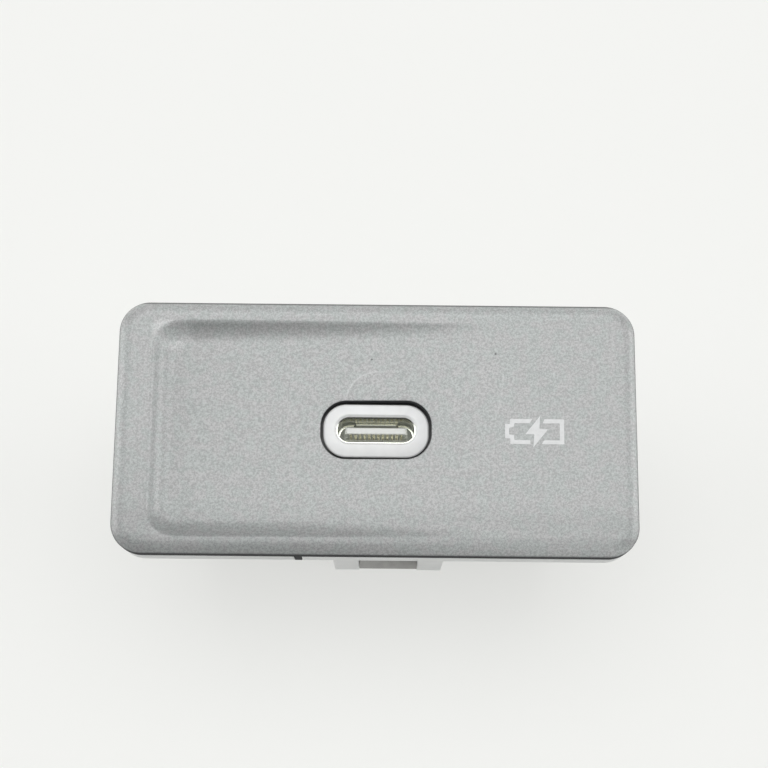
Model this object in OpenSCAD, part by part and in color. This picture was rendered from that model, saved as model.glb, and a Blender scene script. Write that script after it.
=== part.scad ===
// Panel-mounted USB-C charging socket for a vehicle console.
// +Z points out of the face, +X runs along the face, and the rear socket ends at z = 0.

/* [Fascia] */
// Width of the face
face_w = 56.5; // [54:0.5:62]
// Height of the face
face_h = 27.7; // [27:0.1:31]
// Corner radius of the face
face_r = 3.3; // [2:0.1:4.5]
// Thickness of the fascia
face_t = 2.6; // [2.5:0.1:3.4]
// Width of the band that curves down to the sides of the fascia
edge_w = 1.5; // [0.8:0.1:1.5]
// Slope of the curved band where it meets the side, in degrees
edge_slope = 58; // [40:1:70]

/* [Finger dish] */
// Depth of the dish at its deep end
dish_depth = 1.8; // [1:0.1:1.9]
// Rim left above and below the dish
dish_rim = 1.85; // [1.5:0.05:3]
// Distance of the dish's middle below the middle of the face
dish_drop = 0.2; // [0:0.05:0.3]
// Rim left beside the deep end
dish_side = 3.65; // [3:0.05:6]
// Width over which the wall of the dish scoops down to the floor
dish_wall = 2.8; // [2:0.1:3.4]
// Width of the rounding where the wall leaves the rim
dish_round = 0.5; // [0.2:0.05:0.8]
// Plan radius of the floor's two corners at the deep end
dish_corner = 0.4; // [0.2:0.1:2]
// Length from the deep end to where the floor meets the face
dish_len = 38.5; // [34:0.5:44]

/* [Light guide] */
// Height of the port's middle above the middle of the face
port_y = -0.24; // [-0.6:0.02:0.6]
// Width of the light ring
ring_w = 11.45; // [11:0.05:12.5]
// Height of the light ring
ring_h = 5.85; // [5.4:0.05:6.5]
// Corner radius of the light ring
ring_r = 2.5; // [1.8:0.1:2.6]
// Drop of the ring's front below the floor of the dish
ring_drop = 0.7; // [0.5:0.05:0.9]
// Width of the band that curves down to the sides of the ring
ring_round = 0.2; // [0.1:0.05:0.5]
// Slope of the ring's curved band where it meets the side, in degrees
ring_slope = 75; // [50:1:80]
// Gap between the ring and the fascia
ring_gap = 0.28; // [0.2:0.02:0.5]
// Thickness of the lip over the front edge of the shell
ring_lip = 0.3; // [0.25:0.05:0.4]
// Width of lip that shows round the shell's mouth
lip_reveal = 0.14; // [0.05:0.01:0.18]
// Chamfer of the lip round the mouth
lip_chamfer = 0.25; // [0.1:0.05:0.25]
// Thickness of the foot that the fascia holds down
foot_t = 0.5; // [0.4:0.05:0.65]
// Reach of the foot past the ring
foot_reach = 1.9; // [1.7:0.1:3]
// Corner radius of the foot
foot_r = 1.5; // [0.5:0.1:2.5]
// Thickness of a leg that carries light from the board
guide_leg_t = 1.2; // [0.8:0.1:1.4]

/* [USB receptacle] */
// Width of the shell's mouth
usb_w = 8.34; // [8.3:0.01:8.4]
// Height of the shell's mouth
usb_h = 2.56; // [2.52:0.01:2.6]
// Height of the receptacle's axis above the ring's middle
usb_rise = 0.14; // [0:0.02:0.2]
// Sheet thickness of the shell
shell_t = 0.25; // [0.2:0.05:0.35]
// Length of the shell
shell_len = 8.1; // [7.6:0.1:9]
// Width of a leg of the shell
shell_leg_w = 1; // [0.7:0.1:1.3]
// Length of a leg below the board
shell_leg_end = 0.4; // [0.2:0.1:0.8]
// Width of the tongue
tongue_w = 6.69; // [6.6:0.01:6.75]
// Thickness of the tongue
tongue_t = 0.7; // [0.66:0.01:0.76]
// Length of the tongue from its root block
tongue_len = 4.1; // [3.9:0.05:4.6]
// Distance of the tongue's tip behind the shell's mouth
tongue_recess = 0.45; // [0.4:0.05:1.2]
// Chamfer of the tongue's tip
tongue_chamfer = 0.08; // [0.05:0.01:0.2]
// Plan chamfer of the two corners of the tongue's tip
tongue_corner = 0.2; // [0.1:0.02:0.28]
// Length of the thick root of the tongue
root_len = 0.9; // [0.6:0.1:1.3]
// Thickness of the tongue's root
root_t = 1.3; // [1.2:0.1:1.8]
// Reach of the root past each side of the tongue
root_reach = 0.2; // [0.1:0.05:0.4]
// Thickness of the ground pads on the root
pad_t = 0.12; // [0.08:0.01:0.16]
// Width of the ground pads
pad_w = 4.8; // [4:0.1:6.4]
// Contacts in each row
contact_count = 12; // [8:2:12]
// Spacing of the contacts
contact_pitch = 0.5; // [0.45:0.01:0.52]
// Width of a contact
contact_w = 0.26; // [0.2:0.01:0.3]
// Thickness of a contact
contact_t = 0.12; // [0.1:0.01:0.14]
// Length of a contact's foot on the board
contact_foot = 0.5; // [0.3:0.05:0.55]
// Thickness of the shield plate inside the tongue
mid_plate_t = 0.16; // [0.1:0.02:0.2]
// Depth of the notches that the plug's side latches drop into
latch_notch = 0.25; // [0.15:0.05:0.35]
// Length of the latch notches
latch_len = 0.9; // [0.6:0.1:1.2]

/* [Housing] */
// Width of the body behind the flange
body_w = 50; // [48:0.5:51]
// Height of the body behind the flange
body_h = 21; // [20:0.1:21.4]
// Length of the body behind the flange
body_len = 22.6; // [22:0.1:26]
// Corner radius of the body
body_r = 1.6; // [1.2:0.1:3]
// Corner radius inside the body
cavity_r = 0.6; // [0.3:0.1:1]
// Wall thickness of the body
wall = 1.6; // [1.3:0.1:1.8]
// Height of the flange, from its back to the fascia
flange_t = 3.2; // [2.6:0.1:4]
// Step of the flange inside the fascia's outline
flange_step = 0.05; // [0:0.05:0.4]
// Width of the flange's rim that the fascia rests on
flange_rim = 2; // [1.5:0.1:2.4]
// Land left round the foot of the light guide
port_land = 1; // [0.6:0.1:1.5]
// Width of the notch in the flange's lower edge that keys the fascia
notch_w = 0.85; // [0.8:0.05:2]
// Depth of the notch
notch_depth = 0.9; // [0.5:0.1:1.2]
// Place of the notch along the lower edge
notch_x = -8.3; // [-14:0.1:-8]
// Height of the locating ribs on the short sides
side_rib_h = 0.6; // [0.3:0.1:1]
// Width of a locating rib
side_rib_w = 1.4; // [1:0.1:2]
// Spacing of the two locating ribs on a side
side_rib_pitch = 10; // [6:0.5:14]
// Length of a locating rib
side_rib_len = 16; // [10:0.5:20]

/* [Snap hooks] */
// Width of a hook
hook_w = 3; // [2:0.1:4]
// Thickness of a hook's stem
hook_t = 1.1; // [0.8:0.1:1.3]
// Catch of a hook behind the front wall
hook_catch = 0.55; // [0.3:0.05:0.7]
// Length of a hook's head
hook_head = 1.4; // [1.1:0.1:1.8]
// Distance between the hooks along the face
hook_span = 40; // [34:0.5:42]

/* [Retaining clips] */
// Place of the clips along the body
clip_x = 1.5; // [-2:0.1:2]
// Width of a clip
clip_w = 6.8; // [5.5:0.1:7.5]
// Sheet thickness of a clip
clip_t = 0.4; // [0.3:0.05:0.5]
// Height of a clip's crest above the body
clip_rise = 2.4; // [2.2:0.1:2.8]
// Distance of the crest behind the flange
clip_back = 15.1; // [13:0.1:15.4]
// Length of the catch in front of the crest
clip_catch_len = 1.6; // [1:0.1:2]
// Bend radius at the back of a clip
clip_bend_r = 0.5; // [0.4:0.05:0.6]
// Distance from the flange to the front of a clip's base leg
clip_front_gap = 3; // [2:0.1:3.6]
// Width of a guide rib beside a clip
rib_w = 2.95; // [2:0.05:4]
// Height of a guide rib above the body
rib_h = 2; // [1.7:0.1:2.4]
// Length of a guide rib behind the flange
rib_len = 20.6; // [20:0.1:22]
// Chamfer at a rib's rear end that leads the body into the panel
rib_lead = 0.8; // [0.4:0.1:1.2]
// Distance from a rib's rear end to a clip's bend
rib_over = 1.6; // [1:0.1:2]
// Distance from the flange to the strap over a clip's base leg
strap_back = 4; // [3.8:0.1:5]
// Length of the strap along the clip
strap_len = 2; // [1.4:0.1:2.4]
// Thickness of the strap
strap_t = 1; // [0.7:0.1:1.2]
// Distance from the flange to the nub that locates a clip
nub_back = 7.5; // [7.4:0.1:9]
// Side of the locating nub
nub_side = 2; // [1.5:0.1:2.5]

/* [Rear cover] */
// Thickness of the cover plate
cover_t = 2; // [1.6:0.1:2.6]
// Length of the spigot inside the body
spigot_len = 3.6; // [3.4:0.1:4.2]
// Wall of the spigot
spigot_wall = 1.2; // [1:0.1:1.5]
// Width of a snap tab
tab_w = 5; // [4:0.1:7]
// Distance between the snap tabs along the body
tab_span = 30; // [28:0.5:36]
// Distance of the snap tabs from the cover plate
tab_back = 1.2; // [0.8:0.1:1.5]
// Length of a snap tab
tab_len = 1.6; // [1.2:0.1:1.8]
// Height of a snap tab
tab_rise = 1.3; // [0.8:0.1:1.4]
// Width of the socket for the vehicle's plug
socket_w = 13.2; // [12.4:0.1:15]
// Height of the socket for the vehicle's plug
socket_h = 8; // [7.6:0.1:9]
// Depth of the socket for the vehicle's plug
socket_len = 13; // [11:0.1:16]
// Wall of the socket
socket_wall = 1.6; // [1.2:0.1:2]
// Width of the ramp that the vehicle's plug locks over
lock_w = 5.2; // [3:0.1:8]
// Height of the lock ramp
lock_h = 1; // [0.6:0.1:1.4]
// Distance from the socket's end to the lock ramp's catch
lock_reach = 5; // [4:0.1:6]
// Length of the lock ramp
lock_len = 3; // [2:0.1:3.6]
// Width of a keying rib inside the socket
key_w = 1.2; // [0.8:0.1:1.6]
// Height of a keying rib
key_h = 0.7; // [0.4:0.1:0.9]
// Distance between the keying ribs
key_span = 10; // [9:0.1:10.6]

/* [Circuit board] */
// Thickness of the board
board_t = 1.2; // [0.8:0.1:1.6]
// Gap between the board's edges and the walls
board_side_gap = 0.3; // [0.2:0.05:0.5]
// Depth of the rails that hold the board's edges
rail_depth = 1.4; // [1:0.1:1.8]
// Thickness of a rail
rail_t = 1.2; // [0.8:0.1:1.6]

/* [Terminals] */
// Spacing of the terminal pins
pin_pitch = 2.54; // [2.3:0.02:2.6]
// Side of a square terminal pin
pin_size = 0.64; // [0.5:0.02:0.7]
// Height of the pins above the board
pin_rise = 2.9; // [2.4:0.1:3.2]
// Height of the pins above the middle of the socket
pin_offset = 1.9; // [1.5:0.1:2.2]
// Length of pin that stands in the socket
pin_reach = 9; // [7:0.1:10]
// Length of pin below the board
pin_tail = 1; // [0.6:0.1:1.5]
// Length of the block that holds the pins
header_len = 2.4; // [2:0.1:3]
// Height of the block above the pins
header_over = 1.5; // [1:0.1:2]
// Distance from the block to the bend of the pins
pin_bend_gap = 1; // [0.8:0.1:1.4]
// Diameter of a pin's hole in the board
pin_hole = 1.05; // [1:0.05:1.2]

/* [Components] */
// Gap between neighbouring components
component_gap = 0.7; // [0.5:0.05:0.8]
// Gap between components and the rails or the board's front edge
board_margin = 1.6; // [1:0.1:1.8]
// Side of the power inductor
inductor_side = 7; // [6:0.1:7.4]
// Height of the power inductor
inductor_h = 4.5; // [3:0.1:6]
// Corner radius of the power inductor
inductor_r = 0.6; // [0.3:0.1:1.2]
// Diameter of the smoothing capacitors
can_d = 6.3; // [5:0.1:6.6]
// Height of the smoothing capacitors
can_h = 7.4; // [5:0.1:8]
// Depth of the rolled bead in a smoothing capacitor
can_bead = 0.25; // [0.15:0.05:0.4]
// Height of the bead above the board
can_bead_rise = 1.5; // [1:0.1:2]
// Side of the converter chip
converter_side = 5; // [4:0.1:5.4]
// Thickness of the chips
chip_t = 0.9; // [0.7:0.05:1.2]
// Side of the charge controller chip
controller_side = 4; // [3:0.1:4.6]
// Width of the surge diode
diode_w = 2.6; // [2.2:0.1:3]
// Length of the surge diode
diode_len = 4.2; // [3.6:0.1:4.6]
// Height of the surge diode
diode_h = 2.1; // [1.6:0.1:2.6]
// Width of a tab of the surge diode
diode_tab_w = 1.6; // [1.2:0.1:2]
// Reach of a tab past the diode's body
diode_tab_len = 0.3; // [0.2:0.05:0.4]
// Length of the input fuse
fuse_len = 3.2; // [2.6:0.1:4]
// Width of the input fuse
fuse_w = 1.6; // [1.2:0.1:2]
// Height of the input fuse
fuse_h = 1; // [0.7:0.1:1.4]
// Length of a ceramic capacitor
ceramic_len = 1.6; // [1:0.1:2]
// Width and height of a ceramic capacitor
ceramic_w = 0.8; // [0.5:0.1:1.2]
// Width of a light source
led_w = 2.4; // [2:0.1:2.8]
// Height of a light source
led_h = 1; // [0.8:0.05:1.2]
// Depth of a light source
led_depth = 1.2; // [0.8:0.1:1.6]

/* [Fits] */
// Clearance between moulded pieces
fit = 0.1; // [0.06:0.01:0.15]
// Clearance between a stamped piece and its seat
stamp_fit = 0.04; // [0.02:0.01:0.06]
// Gap left at the end of a piece that is pushed home
end_gap = 0.25; // [0.15:0.05:0.3]

/* [Hidden] */
$fn = 64;

// Overlap of shapes that are joined, and reach of a cut past the face it opens
join = 0.2;
past = 1;

// Levels along the depth
z_cover = socket_len;
z_body = z_cover + cover_t;
z_flange = z_body + body_len;
z_front = z_flange + flange_t;
z_face = z_front + face_t;

// Inside of the body
cavity_w = body_w - 2 * wall;
cavity_h = body_h - 2 * wall;

// Finger dish: its floor rises in a straight line from the deep end to the face
dish_x0 = -face_w / 2 + dish_side;
dish_x1 = dish_x0 + dish_len;
dish_y = face_h / 2 - dish_rim;
dish_steps = 8;
dish_round_steps = 2;
dish_corner_steps = 10;
dish_lift = 0.02;

// Light ring, and the receptacle behind it
z_ring = z_face - dish_floor(0) - ring_drop;
foot_w = ring_w + 2 * foot_reach;
foot_h = ring_h + 2 * foot_reach;
usb_y = port_y + usb_rise;
shell_w = usb_w + 2 * shell_t;
shell_h = usb_h + 2 * shell_t;
z_shell_front = z_ring - ring_lip - stamp_fit;
z_shell_back = z_shell_front - shell_len;
z_tip = z_shell_front - tongue_recess;
z_root = z_tip - tongue_len;
z_latch = z_root + root_len + latch_len;
root_w = tongue_w + 2 * root_reach;
contact_drop_gap = 0.35;
z_drop_lower = z_shell_back - contact_drop_gap;
z_drop_upper = z_drop_lower - contact_foot - contact_drop_gap;
mid_plate_inset = tongue_corner + stamp_fit;

// Circuit board: the shell stands on its upper face
board_top = usb_y - shell_h / 2;
board_x = cavity_w / 2 - board_side_gap;
board_z0 = z_body + spigot_len + end_gap;
board_z1 = z_flange - end_gap;
shell_leg_x = shell_w / 2 - shell_t / 2;
shell_leg_zs = [board_z1 - shell_leg_w, z_shell_back + shell_leg_w];

// Light sources beside the shell, and the window in the front wall for the shell and the guide's legs
led_side_gap = 0.7;
led_light_gap = 0.15;
led_x = shell_w / 2 + led_side_gap + led_w / 2;
led_z1 = board_z1 - fit;
window_over = 0.5;
window_w = 2 * (led_x + led_w / 2 + 2 * fit);
window_h = shell_h + 2 * window_over;

// Snap hooks that hold the fascia to the front wall
hook_y1 = cavity_h / 2 - fit - hook_catch;
hook_y0 = hook_y1 - hook_t;
hook_root = 0.3;

// Clip path: a base leg on the wall, a bend at the back and a spring leg that rises to the crest
clip_y = body_h / 2 + clip_t / 2;
clip_bend_z = z_flange - rib_len + rib_over;
clip_crest = [body_h / 2 + clip_rise - clip_t / 2, z_flange - clip_back];
clip_catch = [clip_y + 2 * clip_bend_r, clip_crest[1] + clip_catch_len];
clip_channel = clip_w + 2 * stamp_fit;
clip_bend_steps = 8;

// Terminals, and the socket round them
pin_count = 4;
pin_y = board_top + pin_rise;
socket_y = pin_y - pin_offset;
pin_bend_z = board_z0 + header_len + pin_bend_gap;
header_w = pin_count * pin_pitch;

// Places of the components on the board
left_x = -board_x + rail_depth + board_margin;
right_x = board_x - rail_depth - board_margin;
front_z = board_z1 - board_margin;
can_pitch = can_d + component_gap;
can_z = front_z - can_d / 2;
ceramic_count = 3;

// Moulded marks on the components
inductor_dimple = 0.2;
chip_mark_r = 0.3;
chip_mark_depth = 0.08;

// Depth of the dish's floor below the face, at a place along the face
function dish_floor(x) = dish_depth * min(1, max(0, (dish_x1 - x) / dish_len));

// Share of the floor's depth at a distance inside the rim: the slope grows evenly over the rounding of
// the rim, then fades with the square of the distance left to where the wall meets the floor
function dish_share(s) = let (
    fade = dish_wall - dish_round,
    whole = dish_round / 2 + fade / 3
) s < dish_round ? s * s / (2 * dish_round * whole)
    : 1 - fade * pow((dish_wall - s) / fade, 3) / (3 * whole);

// Outline of the dish moved inwards by s: square corners at the shallow end, round ones at the deep end
function dish_outline(s) = let (
    rim_r = dish_wall + dish_corner,
    c = [dish_x0 + rim_r, dish_y - rim_r],
    r = rim_r - s
) concat(
    [[dish_x1 - s, s - dish_y], [dish_x1 - s, dish_y - s]],
    arc_points(c, r, 90, 180, dish_corner_steps),
    arc_points([c[0], -c[1]], r, 180, 270, dish_corner_steps)
);

// Points along an arc
function arc_points(c, r, a0, a1, steps) =
    [for (i = [0 : steps]) let (a = a0 + (a1 - a0) * i / steps) c + r * [cos(a), sin(a)]];

// Outline of a strip of sheet that follows a path
function strip_outline(p, t) = concat(
    [for (i = [0 : len(p) - 1]) p[i] + miter(p, i) * t / 2],
    [for (i = [len(p) - 1 : -1 : 0]) p[i] - miter(p, i) * t / 2]
);
function unit(v) = v / norm(v);
function side_normal(a, b) = let (d = unit(b - a)) [-d[1], d[0]];
function miter(p, i) =
    i == 0 ? side_normal(p[0], p[1])
    : i == len(p) - 1 ? side_normal(p[i - 1], p[i])
    : let (
        n = side_normal(p[i - 1], p[i]),
        m = unit(n + side_normal(p[i], p[i + 1]))
    ) m / (m * n);

// Places of a row of evenly spaced pieces about the middle
function row_places(count, pitch) = [for (i = [0 : count - 1]) (i - (count - 1) / 2) * pitch];

module rounded_rect(w, h, r) {
    square([w - 2 * r, h], center = true);
    square([w, h - 2 * r], center = true);
    for (x = [-1, 1], y = [-1, 1])
        translate([x * (w / 2 - r), y * (h / 2 - r)]) circle(r);
}

module plate(w, h, r, t) {
    linear_extrude(t) rounded_rect(w, h, r);
}

// Prism with half-round ends
module slot_prism(w, h, t) {
    linear_extrude(t) {
        square([w - h, h], center = true);
        for (x = [-1, 1])
            translate([x * (w - h) / 2, 0]) circle(h / 2);
    }
}

// Prism with half-round ends that flares at 45 degrees
module slot_funnel(w, h, t) {
    across_x(w - h)
        polygon([
            [-h / 2, 0],
            [h / 2, 0],
            [h / 2 + t, t],
            [-h / 2 - t, t]
        ]);
    for (x = [-1, 1])
        translate([x * (w - h) / 2, 0, 0]) cylinder(r1 = h / 2, r2 = h / 2 + t, h = t);
}

// Box from its lowest corner to its highest
module box_between(low, high) {
    translate(low) cube(high - low);
}

// Extrudes a profile drawn in (y, z) along X, centred on x = 0
module across_x(width) {
    translate([-width / 2, 0, 0]) rotate([90, 0, 90]) linear_extrude(width) children();
}

module both_sides() {
    children();
    mirror([1, 0, 0]) children();
}

module both_heights() {
    children();
    mirror([0, 1, 0]) children();
}

// Section from the centre of a corner out to a side, with a band that curves down to the side
module pillow_section(r, t, band, slope) {
    arc_r = band / sin(slope);
    intersection() {
        square([r, t]);
        union() {
            square([r - band, t]);
            square([r, t - band * tan(slope / 2)]);
            translate([r - band, t - arc_r]) circle(arc_r);
        }
    }
}

// Plate with a curved front edge: one section carried along the straight sides and round the corners
module pillow_plate(w, h, r, t, band, slope) {
    x = w / 2 - r;
    y = h / 2 - r;
    box_between([-x, -y, 0], [x, y, t]);
    for (a = [0, 180])
        rotate([0, 0, a]) {
            translate([x, y, 0]) rotate([90, 0, 0])
                linear_extrude(2 * y) pillow_section(r, t, band, slope);
            translate([-x, y, 0]) rotate([90, 0, 90])
                linear_extrude(2 * x) pillow_section(r, t, band, slope);
            for (corner = [[x, 0], [-x, 90]])
                translate([corner[0], y, 0]) rotate([0, 0, corner[1]])
                    rotate_extrude(angle = 90) pillow_section(r, t, band, slope);
        }
}

// The space above the dish: rings of points step down the scooped wall to a flat, sloping floor
module dish_cutter() {
    insets = concat(
        [for (i = [0 : dish_round_steps]) dish_round * i / dish_round_steps],
        [for (i = [1 : dish_steps]) dish_round + (dish_wall - dish_round) * i / dish_steps]
    );
    rings = [
        for (s = insets)
            [for (p = dish_outline(s)) [p[0], p[1], dish_lift - dish_floor(p[0]) * dish_share(s)]]
    ];
    top = [for (p = dish_outline(0)) [p[0], p[1], past]];
    n = len(top);
    last = (len(insets) - 1) * n;
    lid = last + n;
    sides = [
        for (k = [0 : n : last - n], i = [0 : n - 1])
            [k + i, k + (i + 1) % n]
    ];
    polyhedron(
        [for (ring = concat(rings, [top])) each ring],
        concat(
            [for (e = sides) [e[0], e[1], e[1] + n]],
            [for (e = sides) [e[0], e[1] + n, e[0] + n]],
            [for (i = [0 : n - 1]) let (j = (i + 1) % n) [i, lid + i, lid + j, j]],
            [[for (i = [0 : n - 1]) last + i]],
            [[for (i = [n - 1 : -1 : 0]) lid + i]]
        )
    );
}

// Hook that passes through the front wall and catches behind it
module fascia_hook() {
    z_catch = z_flange - fit;
    across_x(hook_w)
        polygon([
            [hook_y0, z_front + hook_root],
            [hook_y1, z_front + hook_root],
            [hook_y1, z_catch],
            [hook_y1 + hook_catch, z_catch],
            [hook_y1 + hook_catch, z_catch - hook_catch / 2],
            [hook_y1, z_flange - hook_head],
            [hook_y0, z_flange - hook_head]
        ]);
}

// Key that stands in the notch of the flange's lower edge, flush with the flange
module fascia_key() {
    w = notch_w - 2 * stamp_fit;
    translate([notch_x - w / 2, flange_step - face_h / 2, z_flange])
        cube([w, notch_depth - fit, flange_t + hook_root]);
}

module fascia() {
    color("#8d9091") {
        difference() {
            translate([0, 0, z_front]) pillow_plate(face_w, face_h, face_r, face_t, edge_w, edge_slope);
            translate([0, -dish_drop, z_face]) dish_cutter();
            translate([0, port_y, z_front - past]) {
                plate(ring_w + 2 * ring_gap, ring_h + 2 * ring_gap, ring_r + ring_gap, face_t + 2 * past);
                plate(foot_w + 2 * fit, foot_h + 2 * fit, foot_r + fit, past + foot_t + fit / 2);
            }
        }
        both_sides() both_heights() translate([hook_span / 2, 0, 0]) fascia_hook();
        fascia_key();
    }
}

module light_guide() {
    leg_y = board_top + (led_h - guide_leg_t) / 2;
    mouth_w = usb_w + 2 * lip_reveal;
    mouth_h = usb_h + 2 * lip_reveal;
    color("#eef0f0") difference() {
        union() {
            translate([0, port_y, z_front]) {
                pillow_plate(ring_w, ring_h, ring_r, z_ring - z_front, ring_round, ring_slope);
                plate(foot_w, foot_h, foot_r, foot_t);
            }
            both_sides()
                translate([led_x - led_w / 2, leg_y, led_z1 + led_light_gap])
                    cube([led_w, guide_leg_t, z_front + foot_t / 2 - led_z1 - led_light_gap]);
        }
        translate([0, usb_y, z_front - past]) {
            slot_prism(mouth_w, mouth_h, face_t + 2 * past);
            slot_prism(shell_w + 2 * fit, shell_h + 2 * fit, z_ring - ring_lip - z_front + past);
        }
        translate([0, usb_y, z_ring - lip_chamfer]) slot_funnel(mouth_w, mouth_h, lip_chamfer + join);
    }
}

// Rail pair that holds one edge of the board
module board_rails() {
    for (y = [board_top + fit / 2, board_top - board_t - fit / 2 - rail_t])
        translate([cavity_w / 2 - rail_depth, y, board_z0])
            cube([rail_depth + join, rail_t, z_flange - board_z0 + join]);
}

// Two guide ribs, with a strap between them that holds a clip's base leg and a nub that locates it
module clip_station() {
    rib_x = (clip_channel + rib_w) / 2;
    translate([clip_x, body_h / 2, z_flange]) {
        for (s = [-1, 1])
            translate([s * rib_x, 0, 0]) across_x(rib_w)
                polygon([
                    [-join, join],
                    [rib_h, join],
                    [rib_h, rib_lead - rib_len],
                    [rib_h - rib_lead, -rib_len],
                    [-join, -rib_len]
                ]);
        translate([-clip_channel / 2 - join, clip_t + fit, -strap_back - strap_len])
            cube([clip_channel + 2 * join, strap_t, strap_len]);
        translate([-nub_side / 2, -join, -nub_back - nub_side]) cube([nub_side, clip_t + 2 * join, nub_side]);
    }
}

module locating_ribs() {
    for (y = [-1, 1])
        translate([body_w / 2 - join, (y * side_rib_pitch - side_rib_w) / 2, z_flange - side_rib_len])
            cube([side_rib_h + join, side_rib_w, side_rib_len + join]);
}

// Flange with a rim for the fascia and a land under the light guide, on top of the front wall
module flange() {
    w = face_w - 2 * flange_step;
    h = face_h - 2 * flange_step;
    r = face_r - flange_step;
    difference() {
        plate(w, h, r, flange_t);
        translate([0, 0, wall])
            plate(w - 2 * flange_rim, h - 2 * flange_rim, max(cavity_r, r - flange_rim), flange_t);
    }
    translate([0, port_y, 0])
        plate(foot_w + 2 * port_land, foot_h + 2 * port_land, foot_r + port_land, flange_t);
}

module housing() {
    slot_y0 = hook_y0 - hook_catch - fit;
    color("#cfd1d0") difference() {
        union() {
            translate([0, 0, z_flange]) flange();
            translate([0, 0, z_body]) difference() {
                plate(body_w, body_h, body_r, body_len + join);
                translate([0, 0, -past]) plate(cavity_w, cavity_h, cavity_r, body_len + past + 2 * join);
            }
            both_sides() {
                board_rails();
                locating_ribs();
            }
            both_heights() clip_station();
        }
        // Window for the receptacle and the light guide's legs
        translate([0, usb_y, z_flange - past]) plate(window_w, window_h, cavity_r, flange_t + 2 * past);
        // Slots for the fascia's hooks
        both_sides() both_heights()
            translate([(hook_span - hook_w) / 2 - 2 * fit, slot_y0, z_flange - past])
                cube([hook_w + 4 * fit, hook_y1 + fit - slot_y0, wall + 2 * past]);
        // Windows for the cover's snap tabs
        for (x = [-1, 1])
            translate([(x * tab_span - tab_w) / 2 - 2 * fit, -body_h, z_body + tab_back - fit])
                cube([tab_w + 4 * fit, 2 * body_h, tab_len + 2 * fit]);
        // Notch for the fascia's key
        translate([notch_x - notch_w / 2, flange_step - face_h / 2 - past, z_flange - past])
            cube([notch_w, notch_depth + past, flange_t + 2 * past]);
    }
}

// Ramped tab on the spigot that clicks into a window of the body
module cover_tab() {
    y0 = cavity_h / 2 - fit;
    z0 = z_body + tab_back;
    across_x(tab_w)
        polygon([
            [y0 - spigot_wall / 2, z0],
            [y0 + tab_rise, z0],
            [y0 + tab_rise, z0 + tab_len / 4],
            [y0, z0 + tab_len],
            [y0 - spigot_wall / 2, z0 + tab_len]
        ]);
}

// Ramp on the socket that the vehicle's plug locks over
module lock_ramp() {
    y0 = socket_y - socket_h / 2 - socket_wall;
    across_x(lock_w)
        polygon([
            [y0 + join, lock_reach - lock_len],
            [y0, lock_reach - lock_len],
            [y0 - lock_h, lock_reach - lock_len / 4],
            [y0 - lock_h, lock_reach],
            [y0 + join, lock_reach]
        ]);
}

// Collar of the cover that fits inside the body
module cover_spigot() {
    w = cavity_w - 2 * fit;
    h = cavity_h - 2 * fit;
    translate([0, 0, z_body - join]) difference() {
        plate(w, h, cavity_r, spigot_len + join);
        translate([0, 0, -past])
            plate(w - 2 * spigot_wall, h - 2 * spigot_wall, cavity_r, spigot_len + 3 * past);
    }
}

module rear_cover() {
    pin_way = pin_size + fit;
    color("#34383b") {
        difference() {
            union() {
                translate([0, 0, z_cover]) plate(body_w, body_h, body_r, cover_t);
                cover_spigot();
                for (x = [-1, 1]) both_heights() translate([x * tab_span / 2, 0, 0]) cover_tab();
                translate([0, socket_y, 0])
                    plate(socket_w + 2 * socket_wall, socket_h + 2 * socket_wall, body_r, socket_len + join);
                lock_ramp();
            }
            translate([0, socket_y, -past]) plate(socket_w, socket_h, cavity_r, socket_len + past);
            for (x = row_places(pin_count, pin_pitch))
                translate([x - pin_way / 2, pin_y - pin_way / 2, z_cover - past])
                    cube([pin_way, pin_way, cover_t + 2 * past]);
        }
        // Keying ribs on the pin side of the socket
        for (x = [-1, 1])
            translate([(x * key_span - key_w) / 2, socket_y + socket_h / 2 - key_h, 0])
                cube([key_w, key_h + join, socket_len + join]);
    }
}

module retaining_clip() {
    path = concat(
        [[clip_y, z_flange - clip_front_gap]],
        arc_points([clip_y + clip_bend_r, clip_bend_z], clip_bend_r, 180, 360, clip_bend_steps),
        [clip_crest, clip_catch]
    );
    hole = nub_side + 2 * fit;
    color("#4c4f52") translate([clip_x, 0, 0]) difference() {
        across_x(clip_w) polygon(strip_outline(path, clip_t));
        translate([-hole / 2, body_h / 2 - past, z_flange - nub_back - nub_side - fit])
            cube([hole, clip_t + clip_bend_r + past, hole]);
    }
}

module main_board() {
    slot_t = shell_t + 2 * fit;
    color("#1f5a3c") difference() {
        box_between([-board_x, board_top - board_t, board_z0], [board_x, board_top, board_z1]);
        both_sides() for (z = shell_leg_zs)
            translate([shell_leg_x - slot_t / 2, board_top - board_t - past, z - shell_leg_w / 2 - fit])
                cube([slot_t, board_t + 2 * past, shell_leg_w + 2 * fit]);
        for (x = row_places(pin_count, pin_pitch))
            translate([x, board_top + past, pin_bend_z])
                rotate([90, 0, 0]) cylinder(d = pin_hole, h = board_t + 2 * past);
    }
}

module usb_shell() {
    color("#c9cccd") {
        translate([0, usb_y, z_shell_back]) difference() {
            slot_prism(shell_w, shell_h, shell_len);
            translate([0, 0, -past]) slot_prism(usb_w, usb_h, shell_len + 2 * past);
        }
        both_sides() for (z = shell_leg_zs)
            translate([shell_leg_x - shell_t / 2, board_top - board_t - shell_leg_end, z - shell_leg_w / 2])
                cube([shell_t, usb_y - board_top + board_t + shell_leg_end, shell_leg_w]);
    }
}

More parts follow.
